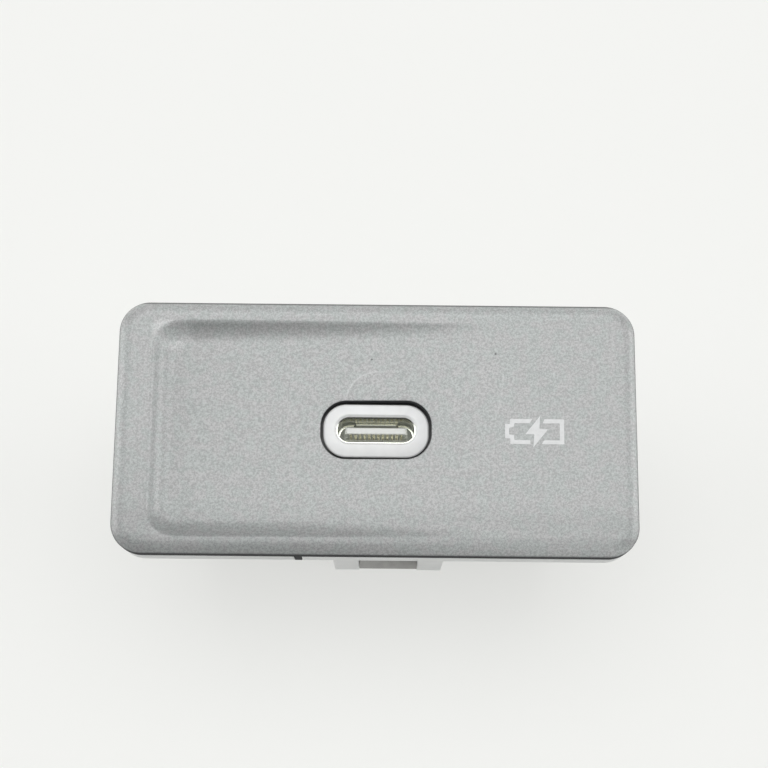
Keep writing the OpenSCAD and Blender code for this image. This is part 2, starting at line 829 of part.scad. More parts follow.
// A row of contacts: along the tongue, through the root block and down to feet on the board
module contact_row(side, z_drop) {
    y_run = usb_y + side * (tongue_t - contact_t) / 2;
    y_foot = board_top + contact_t / 2;
    path = [
        [y_run, z_tip - 2 * tongue_chamfer],
        [y_run, z_drop],
        [y_foot, z_drop],
        [y_foot, z_drop - contact_foot]
    ];
    for (x = row_places(contact_count, contact_pitch))
        translate([x, 0, 0]) across_x(contact_w) polygon(strip_outline(path, contact_t));
}

module usb_contacts_upper() {
    color("#c9a552") contact_row(1, z_drop_upper);
}

module usb_contacts_lower() {
    color("#c9a552") contact_row(-1, z_drop_lower);
}

// Notches in the sides of the tongue for the plug's latches
module latch_notches() {
    both_sides()
        translate([tongue_w / 2 - latch_notch, usb_y - tongue_t, z_latch])
            cube([latch_notch + past, 2 * tongue_t, latch_len]);
}

module mid_plate_blank() {
    y = mid_plate_t / 2;
    x = tongue_w / 2;
    box_between([-x, usb_y - y, z_shell_back + shell_leg_w], [x, usb_y + y, z_tip - mid_plate_inset]);
}

module usb_mid_plate() {
    color("#b4b7b9") difference() {
        mid_plate_blank();
        latch_notches();
    }
}

// Outline of the tongue's section, with its tip chamfered
module tongue_section(half, chamfer) {
    polygon([
        [-half, z_root - join],
        [half, z_root - join],
        [half, z_tip - chamfer],
        [half - chamfer, z_tip],
        [chamfer - half, z_tip],
        [-half, z_tip - chamfer]
    ]);
}

module usb_tongue() {
    color("#b9bcbb") difference() {
        union() {
            translate([0, usb_y, z_shell_back])
                slot_prism(usb_w - 2 * stamp_fit, usb_h - 2 * stamp_fit, z_root - z_shell_back);
            translate([-root_w / 2, usb_y - root_t / 2, z_root - join])
                cube([root_w, root_t, root_len + join]);
            translate([0, usb_y, 0]) intersection() {
                across_x(tongue_w) tongue_section(tongue_t / 2, tongue_chamfer);
                translate([0, tongue_t, 0]) rotate([90, 0, 0])
                    linear_extrude(2 * tongue_t) tongue_section(tongue_w / 2, tongue_corner);
            }
        }
        mid_plate_blank();
        contact_row(1, z_drop_upper);
        contact_row(-1, z_drop_lower);
        latch_notches();
    }
}

module usb_ground_pads() {
    color("#c2c5c6") translate([0, usb_y, z_root]) for (y = [root_t / 2, -root_t / 2 - pad_t])
        translate([-pad_w / 2, y, 0]) cube([pad_w, pad_t, root_len]);
}

module pin_header_block() {
    color("#2b2d30") difference() {
        translate([-header_w / 2, board_top, board_z0]) cube([header_w, pin_rise + header_over, header_len]);
        for (x = row_places(pin_count, pin_pitch))
            translate([x - pin_size / 2, pin_y - pin_size / 2, board_z0 - past])
                cube([pin_size, pin_size, header_len + 2 * past]);
    }
}

// Square pin: straight from the socket through the cover and the block, then down through the board
module terminal_pin(place) {
    path = [
        [pin_y, z_cover - pin_reach],
        [pin_y, pin_bend_z],
        [board_top - board_t - pin_tail, pin_bend_z]
    ];
    color("#b9b08a") translate([row_places(pin_count, pin_pitch)[place], 0, 0])
        across_x(pin_size) polygon(strip_outline(path, pin_size));
}

// Puts a piece that is drawn standing on z = 0 on the board's upper face
module on_board(x, z) {
    translate([x, board_top, z]) rotate([-90, 0, 0]) children();
}

module centred_box(size) {
    translate([-size[0] / 2, -size[1] / 2, 0]) cube(size);
}

module power_inductor() {
    color("#3c3e42") on_board(left_x + inductor_side / 2, front_z - inductor_side / 2) difference() {
        plate(inductor_side, inductor_side, inductor_r, inductor_h);
        translate([0, 0, inductor_h - inductor_dimple])
            cylinder(r = inductor_side / 2 - 3 * inductor_r, h = past);
    }
}

// Can with a rolled bead above its base and a chamfered top
module smoothing_capacitor(z) {
    r = can_d / 2;
    color("#b7babd") on_board(right_x - r, z) rotate_extrude()
        polygon([
            [0, 0],
            [r, 0],
            [r, can_bead_rise - can_bead],
            [r - can_bead, can_bead_rise],
            [r, can_bead_rise + can_bead],
            [r, can_h - can_bead],
            [r - can_bead, can_h],
            [0, can_h]
        ]);
}

module input_capacitor() {
    smoothing_capacitor(can_z - can_pitch);
}

module output_capacitor() {
    smoothing_capacitor(can_z);
}

// Flat moulded chip with a dimple that marks its first pin
module chip(side) {
    mark = 2.5 * chip_mark_r - side / 2;
    difference() {
        centred_box([side, side, chip_t]);
        translate([mark, mark, chip_t - chip_mark_depth]) cylinder(r = chip_mark_r, h = past);
    }
}

module converter_chip() {
    z = front_z - inductor_side - component_gap - converter_side / 2;
    color("#232527") on_board(left_x + converter_side / 2, z) chip(converter_side);
}

module charge_controller_chip() {
    x = right_x - can_d - component_gap - controller_side / 2;
    color("#232527") on_board(x, can_z - can_pitch) chip(controller_side);
}

// Moulded diode with a bent tab at each end
module surge_diode() {
    tab = [diode_tab_w, 2 * diode_tab_len, diode_h / 2];
    x = left_x + inductor_side + component_gap + diode_w / 2;
    color("#2a2c2f") on_board(x, front_z - diode_tab_len - diode_len / 2) {
        centred_box([diode_w, diode_len, diode_h]);
        for (s = [-1, 1]) translate([0, s * diode_len / 2, 0]) centred_box(tab);
    }
}

module input_fuse() {
    x = -header_w / 2 - component_gap - fuse_len / 2;
    color("#d8d4c4") on_board(x, board_z0 + header_len / 2) centred_box([fuse_len, fuse_w, fuse_h]);
}

module ceramic_capacitors() {
    pitch = ceramic_len + component_gap;
    x0 = header_w / 2 + component_gap + ceramic_len / 2;
    color("#a9916c") for (i = [0 : ceramic_count - 1])
        on_board(x0 + i * pitch, board_z0 + component_gap) centred_box([ceramic_len, ceramic_w, ceramic_w]);
}

module light_source(side) {
    color("#f2efe2") translate([side * led_x - led_w / 2, board_top, led_z1 - led_depth])
        cube([led_w, led_h, led_depth]);
}

fascia();
light_guide();
housing();
rear_cover();
retaining_clip();  // retaining_clip_upper
mirror([0, 1, 0]) retaining_clip();  // retaining_clip_lower
main_board();
usb_shell();
usb_tongue();
usb_contacts_upper();
usb_contacts_lower();
usb_mid_plate();
usb_ground_pads();
pin_header_block();
terminal_pin(0);  // terminal_pin_1
terminal_pin(1);  // terminal_pin_2
terminal_pin(2);  // terminal_pin_3
terminal_pin(3);  // terminal_pin_4
power_inductor();
input_capacitor();
output_capacitor();
converter_chip();
charge_controller_chip();
surge_diode();
input_fuse();
ceramic_capacitors();
light_source(-1);  // light_source_left
light_source(1);  // light_source_right
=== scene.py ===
"""Finished look of a vehicle charging socket, laid out as an add-on and run as a script."""

import math

import bmesh
import bpy
import numpy as np
from bpy.props import FloatProperty, FloatVectorProperty, PointerProperty
from mathutils import Matrix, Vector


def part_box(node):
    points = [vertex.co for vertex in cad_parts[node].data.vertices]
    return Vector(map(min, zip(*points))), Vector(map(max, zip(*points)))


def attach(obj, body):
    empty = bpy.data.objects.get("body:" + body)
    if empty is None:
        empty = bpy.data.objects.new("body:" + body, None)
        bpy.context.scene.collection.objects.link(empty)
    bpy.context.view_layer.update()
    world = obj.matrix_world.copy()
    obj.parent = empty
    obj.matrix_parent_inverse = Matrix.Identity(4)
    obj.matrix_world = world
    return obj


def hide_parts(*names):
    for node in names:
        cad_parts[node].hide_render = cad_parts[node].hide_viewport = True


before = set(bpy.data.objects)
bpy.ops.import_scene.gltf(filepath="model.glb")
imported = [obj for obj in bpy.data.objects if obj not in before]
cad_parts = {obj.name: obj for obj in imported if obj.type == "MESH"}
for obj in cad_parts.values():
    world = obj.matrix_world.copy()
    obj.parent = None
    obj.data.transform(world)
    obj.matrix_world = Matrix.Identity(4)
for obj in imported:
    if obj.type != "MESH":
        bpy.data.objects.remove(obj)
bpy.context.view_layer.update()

bl_info = {
    "name": "Charging Socket",
    "version": (1, 0, 0),
    "blender": (4, 5, 0),
    "location": "View3D > Sidebar > Charging Socket",
    "description": "Builds the finished pieces of a vehicle charging socket over its solids",
    "category": "Object",
}

MM = 0.001
AROUND = 640  # points round a loop of the fascia and the ring
AROUND_MOUTH = 320  # points round a loop of the receptacle
LEAST_CORNER = 0.4 * MM  # no loop has a sharper corner
SHARP = math.radians(35)  # edges above this angle stay sharp
FLAT = math.radians(1)  # faces within this angle are one
MERGE = 1e-6  # points within this distance are one
SQUARE = np.array([(-1.0, -1.0), (1.0, -1.0), (1.0, 1.0), (-1.0, 1.0)])

# Marks on the face, in mm: x and y of the middle, half width and half height, and then the strength
LIGHT_MARKS = (
    (19.23, 5.92, 0.07, 0.5, 0.8),
    (-27.2, 9.66, 0.6, 0.07, 0.6),
    (-21.64, 11.08, 0.1, 0.1, 1.0),
    (-18.87, 11.35, 0.08, 0.12, 1.0),
    (-16.52, 10.6, 0.09, 0.08, 1.0),
    (1.2, -13.75, 0.3, 0.12, 1.0),
)
DARK_MARKS = (
    (-0.54, 7.57, 0.16, 0.15, 1.0),
    (12.93, 8.18, 0.15, 0.15, 1.0),
)


def span(node, axis):
    """Extent of a solid along one axis."""
    low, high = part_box(node)
    return high[axis] - low[axis]


def length(label, note, default):
    """Length setting, given in metres."""
    return FloatProperty(name=label, description=note, default=default, unit="LENGTH", precision=5)


def angle(label, note, degrees):
    """Angle setting, given in degrees."""
    return FloatProperty(name=label, description=note, default=math.radians(degrees), subtype="ANGLE")


def amount(label, note, default):
    """Plain number setting."""
    return FloatProperty(name=label, description=note, default=default)


def colour(label, note, default):
    """Linear colour setting."""
    return FloatVectorProperty(
        name=label, description=note, default=default, size=3, min=0.0, max=1.0, subtype="COLOR"
    )


class FasciaSettings(bpy.types.PropertyGroup):
    """Sizes and colours of the painted fascia."""

    width: length("Width", "Width of the face", span("fascia", 0))
    height: length("Height", "Height of the face", span("fascia", 1))
    corner: length("Corner", "Corner radius of the face", 3.3 * MM)
    thickness: length("Thickness", "Thickness of the plate", 2.6 * MM)
    band: length("Edge Band", "Width of the band that curves down to the sides", 1.5 * MM)
    band_slope: angle("Edge Slope", "Slope of the band where it meets the side", 58)
    edge: length("Edge Rounding", "Rounding between the band and the side", 0.12 * MM)
    dish_depth: length("Dish Depth", "Depth of the finger dish at its deep end", 1.8 * MM)
    dish_rim: length("Dish Rim", "Rim above and below the dish", 1.85 * MM)
    dish_drop: length("Dish Drop", "Distance of the dish's middle below the middle of the face", 0.2 * MM)
    dish_side: length("Dish Side", "Rim beside the deep end", 3.65 * MM)
    dish_wall: length("Dish Wall", "Width of the scooped wall", 2.8 * MM)
    dish_round: length("Dish Rounding", "Rounding where the wall leaves the rim", 0.5 * MM)
    dish_corner: length("Dish Corner", "Plan radius of the floor's corners", 0.4 * MM)
    dish_length: length("Dish Length", "Length of the sloping floor", 38.5 * MM)
    dish_run_out: length("Dish Run-out", "Rounding where the floor meets the face", 1.2 * MM)
    hole_gap: length("Ring Gap", "Gap round the light ring", 0.28 * MM)
    hole_edge: length("Hole Edge", "Rounding of the hole's edge", 0.1 * MM)
    back_edge: length("Back Edge", "Chamfer of the plate's back", 0.12 * MM)
    root: length("Root", "How far the hooks and the key run into the plate", 0.3 * MM)
    hook_place: length("Hook Place", "Distance of the hooks from the middle", 20.0 * MM)
    hook_width: length("Hook Width", "Width of a snap hook", 3.0 * MM)
    hook_inside: length("Hook Inside", "Distance of a hook's inner side from the middle", 7.15 * MM)
    hook_outside: length("Hook Outside", "Distance of a hook's outer side from the middle", 8.25 * MM)
    hook_catch: length("Hook Catch", "How far the catch of a hook stands out", 0.55 * MM)
    hook_reach: length("Hook Reach", "Distance of the catch from the plate", 3.3 * MM)
    key_place: length("Key Place", "Place of the key along the lower edge", -8.3 * MM)
    key_width: length("Key Width", "Width of the key", 0.77 * MM)
    key_depth: length("Key Depth", "Size of the key across the edge", 0.8 * MM)
    key_inset: length("Key Inset", "Distance of the key from the outline", 0.05 * MM)
    key_reach: length("Key Reach", "Length of the key behind the plate", 3.2 * MM)
    paint: colour("Paint", "Grey paint of the face", (0.485, 0.5, 0.493))
    plastic: colour("Plastic", "Bare plastic of the sides", (0.022, 0.023, 0.026))


class RingSettings(bpy.types.PropertyGroup):
    """Sizes and colour of the milky light ring."""

    centre: length("Height of Middle", "Height of the ring's middle above the face's middle", -0.24 * MM)
    width: length("Width", "Width of the ring", 11.45 * MM)
    height: length("Height", "Height of the ring", 5.85 * MM)
    corner: length("Corner", "Corner radius of the ring", 2.5 * MM)
    band: length("Edge Band", "Width of the band that curves down to the sides", 0.2 * MM)
    band_slope: angle("Edge Slope", "Slope of the band where it meets the side", 75)
    lip: length("Lip", "Thickness of the lip over the shell's edge", 0.3 * MM)
    lip_chamfer: length("Lip Chamfer", "Chamfer of the lip round the mouth", 0.25 * MM)
    lip_round: length("Lip Rounding", "Rounding at both edges of the chamfer", 0.05 * MM)
    reveal: length("Lip Reveal", "Distance of the lip from the mouth", 0.14 * MM)
    foot: length("Foot", "Thickness of the foot", 0.5 * MM)
    foot_corner: length("Foot Corner", "Corner radius of the foot", 1.5 * MM)
    leg_depth: length("Leg Depth", "Size of a leg across the ring", 1.2 * MM)
    leg_round: length("Leg Rounding", "Rounding of a leg's corners", 0.12 * MM)
    clearance: length("Clearance", "Clearance between moulded pieces", 0.1 * MM)
    milk: colour("Milky Plastic", "Colour of the light guide", (0.895, 0.905, 0.9))
    # Black on the ring's sides and foot: painted shade that darkens the gap round the ring
    mask: colour("Mask", "Black mask on the sides and the foot", (0.03, 0.031, 0.031))


class ReceptacleSettings(bpy.types.PropertyGroup):
    """Sizes and colours of the receptacle."""

    centre: length("Height of Axis", "Height of the receptacle's axis above the face's middle", -0.1 * MM)
    mouth_width: length("Mouth Width", "Width of the mouth", 8.34 * MM)
    mouth_height: length("Mouth Height", "Height of the mouth", 2.56 * MM)
    sheet: length("Sheet", "Sheet thickness of the shell", 0.25 * MM)
    edge: length("Mouth Edge", "Rounding of the shell's front edge", 0.08 * MM)
    leg_width: length("Leg Width", "Width of a leg of the shell", 1.0 * MM)
    front_leg: length("Front Leg", "Level of the front legs' middle", 36.35 * MM)
    back_leg: length("Back Leg", "Distance of the back legs' middle from the shell's end", 1.0 * MM)
    tongue: length("Tongue", "Length of the tongue", 4.1 * MM)
    collar: length("Collar", "Height of the collar round the tongue's root", 0.45 * MM)
    leaf: length("Leaf", "Height of the leaf in the middle of each long side of the collar", 1.35 * MM)
    leaf_width: length("Leaf Width", "Width of the leaf", 4.76 * MM)
    leaf_slope: length("Leaf Slope", "Width over which the collar's edge rises to the leaf", 0.1 * MM)
    collar_sheet: length("Collar Sheet", "Sheet thickness of the collar", 0.11 * MM)
    collar_gap: length("Collar Gap", "Gap between the collar and the shell", 0.01 * MM)
    steel: colour("Steel", "Drawn steel of the shell", (0.8, 0.82, 0.74))
    insulator: colour("Insulator", "Moulded insulator", (0.8, 0.81, 0.78))
    gold: colour("Gold", "Plating of the contacts", (0.7, 0.645, 0.43))


class HousingSettings(bpy.types.PropertyGroup):
    """Edges and colours of the housing, its cover and its clips."""

    edge: length("Moulded Edge", "Softening of moulded edges", 0.15 * MM)
    clip_edge: length("Stamped Edge", "Softening of stamped edges", 0.06 * MM)
    grey: colour("Housing Grey", "Light grey plastic of the housing", (0.83, 0.84, 0.83))
    black: colour("Cover Black", "Black plastic of the rear cover", (0.03, 0.031, 0.034))
    spring: colour("Spring Steel", "Dark tempered strip", (0.31, 0.307, 0.3))


class ElectronicsSettings(bpy.types.PropertyGroup):
    """Colours of the circuit board, its components and the wiring terminals."""

    mask_dark: colour("Mask Dark", "Solder mask in the hollows of the weave", (0.014, 0.085, 0.042))
    mask_light: colour("Mask Light", "Solder mask on the threads of the weave", (0.02, 0.12, 0.06))
    over_copper: colour("Over Copper", "Solder mask over copper", (0.03, 0.16, 0.075))
    resin: colour("Resin", "Moulded resin of the chips and the header", (0.025, 0.026, 0.028))
    ferrite: colour("Ferrite", "Pressed powder of the inductor", (0.05, 0.052, 0.056))
    can: colour("Can", "Aluminium cans of the capacitors", (0.6, 0.61, 0.62))
    ceramic_dark: colour("Ceramic Dark", "Darker grains of the ceramic", (0.46, 0.38, 0.25))
    ceramic_light: colour("Ceramic Light", "Lighter grains of the ceramic", (0.58, 0.5, 0.35))
    lens: colour("Lens", "Resin of the light sources", (0.85, 0.82, 0.68))
    tin: colour("Tin", "Plating of the terminals", (0.56, 0.53, 0.43))


class SignSettings(bpy.types.PropertyGroup):
    """Place and colour of the printed charging sign."""

    left: length("Left", "Left end of the sign", 13.897 * MM)
    top: length("Top", "Upper edge of the battery outline", 0.96 * MM)
    unit_x: length("Unit Across", "Width of one unit of the drawing", 0.1077 * MM)
    unit_y: length("Unit Up", "Height of one unit of the drawing", 0.1098 * MM)
    corner: length("Corner", "Rounding of the printed corners", 0.1 * MM)
    ink: length("Ink", "Thickness of the printed ink", 0.012 * MM)
    white: colour("Ink White", "Colour of the ink", (0.80, 0.81, 0.81))


class StageSettings(bpy.types.PropertyGroup):
    """Floor, light and camera."""

    floor: colour("Floor", "Colour of the floor", (0.93, 0.935, 0.92))
    floor_size: length("Floor Size", "Side of the floor", 6.0)
    floor_drop: length("Floor Drop", "Distance of the floor below the part", 0.01 * MM)
    panel: FloatProperty(name="Panel", description="Power of the panel overhead", default=1.22, unit="POWER")
    panel_place: FloatVectorProperty(
        name="Panel Place", description="Middle of the panel overhead", default=(0.0, 0.17, 0.62), size=3,
        subtype="TRANSLATION", unit="LENGTH",
    )
    panel_width: length("Panel Width", "Width of the panel overhead", 0.45)
    panel_depth: length("Panel Depth", "Depth of the panel overhead", 0.35)
    panel_aim: length("Panel Aim", "Level that the panel faces", 0.04)
    strip: amount("Strip", "Strength of the band of light over the part", 0.88)
    strip_ends: amount("Strip Ends", "How much stronger the band of light is near the horizon", 3.5)
    strip_lean: amount("Strip Lean", "Lean of the band of light towards +Y", 0.1)
    front: amount("Front", "Strength of the light from the viewer's side", 0.18)
    world: amount("World", "Strength of the surrounding light", 0.12)
    backdrop: amount("Backdrop", "Brightness of the background past the floor", 0.812)
    table_light: colour("Table Light", "Colour of the lit table", (0.985, 0.99, 0.96))
    table_strength: amount("Table Strength", "Brightness of the lit table", 0.965)
    table_glow: FloatProperty(
        name="Table Glow", description="Share of the floor's brightness that comes from the lit table",
        default=0.6, min=0.0, max=1.0, subtype="FACTOR",
    )
    lens: FloatProperty(name="Lens", description="Focal length of the camera", default=75.0, unit="CAMERA")


class SocketSettings(bpy.types.PropertyGroup):
    """All settings of the charging socket."""

    fascia: PointerProperty(type=FasciaSettings)
    ring: PointerProperty(type=RingSettings)
    receptacle: PointerProperty(type=ReceptacleSettings)
    housing: PointerProperty(type=HousingSettings)
    electronics: PointerProperty(type=ElectronicsSettings)
    sign: PointerProperty(type=SignSettings)
    stage: PointerProperty(type=StageSettings)


class Signal:
    """A shader socket whose Python operators add Math nodes."""

    def __init__(self, tree, socket=None):
        self.tree = tree
        self.socket = socket

    def make(self, kind, settings, values, output=0):
        """Adds a node: settings first, then the values or links of its sockets. Returns one output."""
        node = self.tree.nodes.new(kind)
        for name, value in settings.items():
            setattr(node, name, value)
        for key, value in values.items():
            if isinstance(value, Signal):
                self.tree.links.new(value.socket, node.inputs[key])
            else:
                node.inputs[key].default_value = value
        return Signal(self.tree, node.outputs[output])

    def math(self, operation, *values):
        """Math node on this tree."""
        return self.make("ShaderNodeMath", {"operation": operation}, dict(enumerate(values)))

    def __add__(self, other):
        return self.math("ADD", self, other)

    def __sub__(self, other):
        return self.math("SUBTRACT", self, other)

    def __rsub__(self, other):
        return self.math("SUBTRACT", other, self)

    def __mul__(self, other):
        return self.math("MULTIPLY", self, other)

    def __truediv__(self, other):
        return self.math("DIVIDE", self, other)

    def __rtruediv__(self, other):
        return self.math("DIVIDE", other, self)

    def __abs__(self):
        return self.math("ABSOLUTE", self)

    __radd__ = __add__
    __rmul__ = __mul__

    def between(self, low, high):
        """Smooth 0 to 1 as the value goes from low to high."""
        return self.make(
            "ShaderNodeMapRange", {"interpolation_type": "SMOOTHSTEP"}, {0: self, 1: low, 2: high}
        )

    def noise(self, scale, detail=2.0, roughness=0.5):
        """Noise on this vector, about 0 to 1."""
        values = {"Vector": self, "Scale": scale, "Detail": detail, "Roughness": roughness}
        return self.make("ShaderNodeTexNoise", {}, values)

    def axis(self, index):
        """One component of this vector."""
        return self.make("ShaderNodeSeparateXYZ", {}, {0: self}, index)

    def scaled(self, factor):
        """This vector or colour times a value."""
        return self.make("ShaderNodeVectorMath", {"operation": "SCALE"}, {0: self, 3: factor})

    def tint(self, first, second):
        """Colour between two colours, by this value."""
        return self.make(
            "ShaderNodeMix", {"data_type": "RGBA"}, {0: self, 6: solid(first), 7: solid(second)}, 2
        )

    def bump(self, depth, strength=1.0):
        """Normal from this height, whose full range is depth."""
        return self.make("ShaderNodeBump", {}, {"Height": self, "Distance": depth, "Strength": strength})

    def attribute(self, name):
        """Value of a mesh attribute."""
        return self.make("ShaderNodeAttribute", {"attribute_name": name}, {}, "Fac")

    def ray(self, kind):
        """1 for one kind of ray, 0 for the others."""
        return self.make("ShaderNodeLightPath", {}, {}, f"Is {kind} Ray")


def solid(value):
    """A colour with full alpha, or a link as it is."""
    return value if isinstance(value, Signal) else (*value[:3], 1.0)


def shade(base, factor):
    """A colour multiplied by a number."""
    return tuple(min(1.0, channel * factor) for channel in base)


def open_finish(name):
    """New material, its surface shader, and the place on the piece in metres."""
    material = bpy.data.materials.new(name)
    material.use_nodes = True
    tree = material.node_tree
    place = Signal(tree).make("ShaderNodeTexCoord", {}, {}, "Object")
    return material, tree.nodes["Principled BSDF"], place


def close_finish(material, shader, values):
    """Sets or links the sockets of a material's surface shader."""
    for key, value in values.items():
        if isinstance(value, Signal):
            material.node_tree.links.new(value.socket, shader.inputs[key])
        else:
            shader.inputs[key].default_value = value
    return material


def grained_plastic(name, base, roughness, grain_scale, grain_depth, variation=0.04):
    """Moulded plastic: spark grain in the normal, with a faint broad change of tone and gloss."""
    material, shader, place = open_finish(name)
    grain = place.noise(grain_scale, 3.0, 0.6)
    cloud = place.noise(260.0, 3.0)
    tone = (cloud * 0.6 + grain * 0.4).between(0.3, 0.7)
    return close_finish(material, shader, {
        "Base Color": tone.tint(shade(base, 1 - variation), shade(base, 1 + variation)),
        "Roughness": cloud * 0.12 + (roughness - 0.06),
        "Normal": grain.bump(grain_depth),
        "Specular IOR Level": 0.4,
    })


def metal_streaks(place, streak):
    """Texture of drawn or rolled metal: its fine streaks, its tone and its gloss."""
    stretched = place.make("ShaderNodeVectorMath", {"operation": "MULTIPLY"}, {0: place, 1: streak})
    lines = stretched.noise(1.0, 3.0, 0.65)
    stain = place.noise(900.0, 2.0)
    return lines, (lines * 0.6 + stain * 0.4).between(0.25, 0.75), lines * 0.14 + stain * 0.08


def drawn_metal(name, base, roughness, streak, variation=0.12):
    """Drawn or rolled metal: fine streaks along one axis in tone, gloss and normal."""
    material, shader, place = open_finish(name)
    lines, tone, gloss = metal_streaks(place, streak)
    return close_finish(material, shader, {
        "Base Color": tone.tint(shade(base, 1 - variation), shade(base, 1 + variation)),
        "Metallic": 1.0,
        "Roughness": gloss + (roughness - 0.11),
        "Normal": lines.bump(0.004 * MM, 0.6),
    })


def shell_steel(settings, z_mouth):
    """Drawn steel of the shell: streaks across its depth, and a cut edge that is bright along its lower side
    and darkened and rougher along its upper side, the darkening a painted shade."""
    material, shader, place = open_finish("shell_steel")
    lines, tone, gloss = metal_streaks(place, (500.0, 500.0, 6000.0))
    rim = place.axis(2).between(z_mouth - 0.1 * MM, z_mouth - 0.03 * MM)
    # Painted shade: the upper side of the cut edge is made dark, as the shade of the ring's lip over it, and
    # rougher
    shaded_upper_rim = rim * place.axis(1).between(settings.centre + 0.3 * MM, settings.centre + 1.0 * MM)
    steel = tone.tint(shade(settings.steel, 0.88), shade(settings.steel, 1.1))
    return close_finish(material, shader, {
        "Base Color": shaded_upper_rim.tint(steel, shade(settings.steel, 0.12)),
        "Metallic": 1.0,
        "Roughness": gloss + shaded_upper_rim * 0.3 + 0.09,
        "Normal": lines.bump(0.004 * MM, 0.6),
    })


def spot(place, x, y, wide, tall):
    """Soft spot on the face: 1 in the middle of an ellipse, 0 outside it."""
    across = (place.axis(0) - x) / wide
    up = (place.axis(1) - y) / tall
    return (across * across + up * up).between(1.0, 0.2)


def marks(place, table):
    """Sum of the soft spots in a table of marks."""
    spots = [
        spot(place, x * MM, y * MM, wide * MM, tall * MM) * strength for x, y, wide, tall, strength in table
    ]
    return sum(spots[1:], spots[0])


def arc_scratch(place, x, y, radius, wide):
    """Thin line along a circle."""
    across = place.axis(0) - x
    up = place.axis(1) - y
    square = across * across + up * up
    away = abs(square.math("SQRT", square) - radius)
    return away.between(wide, wide * 0.2)


def painted_light_and_shade(settings, place):
    """Painted light and shade in the paint's tone: painted light along the upper edge, in the dish's upper
    left corner and towards the right of the lower edge, and painted shade at the upper outline, above the
    lower edge and low on the left."""
    x, y = place.axis(0), place.axis(1)
    top, left = settings.height / 2, -settings.width / 2
    dish_top = top - settings.dish_rim - settings.dish_drop
    upper_edge = y.between(top - 1.9 * MM, top - 0.7 * MM)
    dish_corner = spot(place, left + 5.85 * MM, dish_top - 1.1 * MM, 2.6 * MM, 2.3 * MM)
    in_dish = y.between(dish_top + 0.1 * MM, dish_top - 0.3 * MM)
    lower_edge = y.between(1.65 * MM - top, 0.65 * MM - top) * x.between(-12.0 * MM, 22.0 * MM)
    # Painted light: lighter along the upper edge, in the dish's upper left corner and towards the right of
    # the lower edge
    painted_light = upper_edge * 0.21 + dish_corner * in_dish * 0.26 + lower_edge * 0.32
    upper_outline = y.between(top - 0.38 * MM, top - 0.12 * MM)
    dish_floor = y.between(5.85 * MM - top, 3.35 * MM - top)
    lower_rim = y.between(2.15 * MM - top, 1.65 * MM - top)
    left_side = x.between(left + 5.75 * MM, left + 3.25 * MM) * y.between(2.0 * MM, -9.0 * MM)
    # Painted shade: darker at the upper outline, on the dish's floor above the lower edge, on the lower rim
    # and low on the left
    painted_shade = dish_floor * 0.09 + lower_rim * 0.1 + left_side * 0.08 + upper_outline * 0.75
    return painted_light - painted_shade


def paint_scratches(place):
    """Light scratches: a short arc above the port's left half, a long one to its right, and small marks."""
    x, y = place.axis(0), place.axis(1)
    middle_y = 2.82 * MM
    near_port = arc_scratch(place, 0.08 * MM, middle_y, 3.36 * MM, 0.15 * MM)
    near_port = near_port * y.between(middle_y, middle_y + 1.2 * MM) * x.between(1.0 * MM, 0.0)
    beside_port = arc_scratch(place, -0.65 * MM, 5.99 * MM, 14.39 * MM, 0.16 * MM)
    beside_port = beside_port * spot(place, 13.4 * MM, 3.9 * MM, 1.5 * MM, 3.2 * MM)
    return near_port + beside_port * 0.5 + marks(place, LIGHT_MARKS)


def fascia_paint(settings):
    """Satin grey paint with fine grain over black plastic, with painted light and shade at its edges, lightly
    scratched.
    """
    material, shader, place = open_finish("fascia_paint")
    bare = place.attribute("bare")
    grain = place.noise(6800.0, 2.0, 0.7)
    fleck = place.noise(3600.0, 2.0, 0.6)
    cloud = place.noise(800.0, 2.0)
    paint = settings.paint
    warm = (paint[0] * 1.012, paint[1] * 0.99, paint[2] * 1.0)
    cool = (paint[0] * 0.988, paint[1] * 1.006, paint[2] * 1.003)
    mottle = cloud.between(0.4, 0.6).tint(warm, cool)
    tone = (grain * 0.55 + fleck * 0.45).between(0.4, 0.6)
    # The grain's tone, times the painted light and shade of the edges and the dish
    coat = mottle.scaled((tone * 0.32 + 0.74) * (painted_light_and_shade(settings, place) + 1.0))
    scratch_grey, speck_grey = (0.72, 0.73, 0.73), (0.12, 0.12, 0.12)
    marked = (paint_scratches(place) * 0.35).tint(coat, scratch_grey)
    marked = (marks(place, DARK_MARKS) * 0.8).tint(marked, speck_grey)
    sanded = place.noise(1500.0, 3.0, 0.6)
    plastic = sanded.between(0.3, 0.7).tint(shade(settings.plastic, 0.85), shade(settings.plastic, 1.2))
    return close_finish(material, shader, {
        "Base Color": bare.tint(marked, plastic),
        "Roughness": grain * 0.1 + cloud * 0.06 + bare * 0.4 + 0.4,
        "Metallic": (1.0 - bare) * 0.2,
        "Normal": (grain * 0.6 + fleck * 0.4).bump(0.006 * MM, 0.5),
        "Specular IOR Level": 0.45,
    })


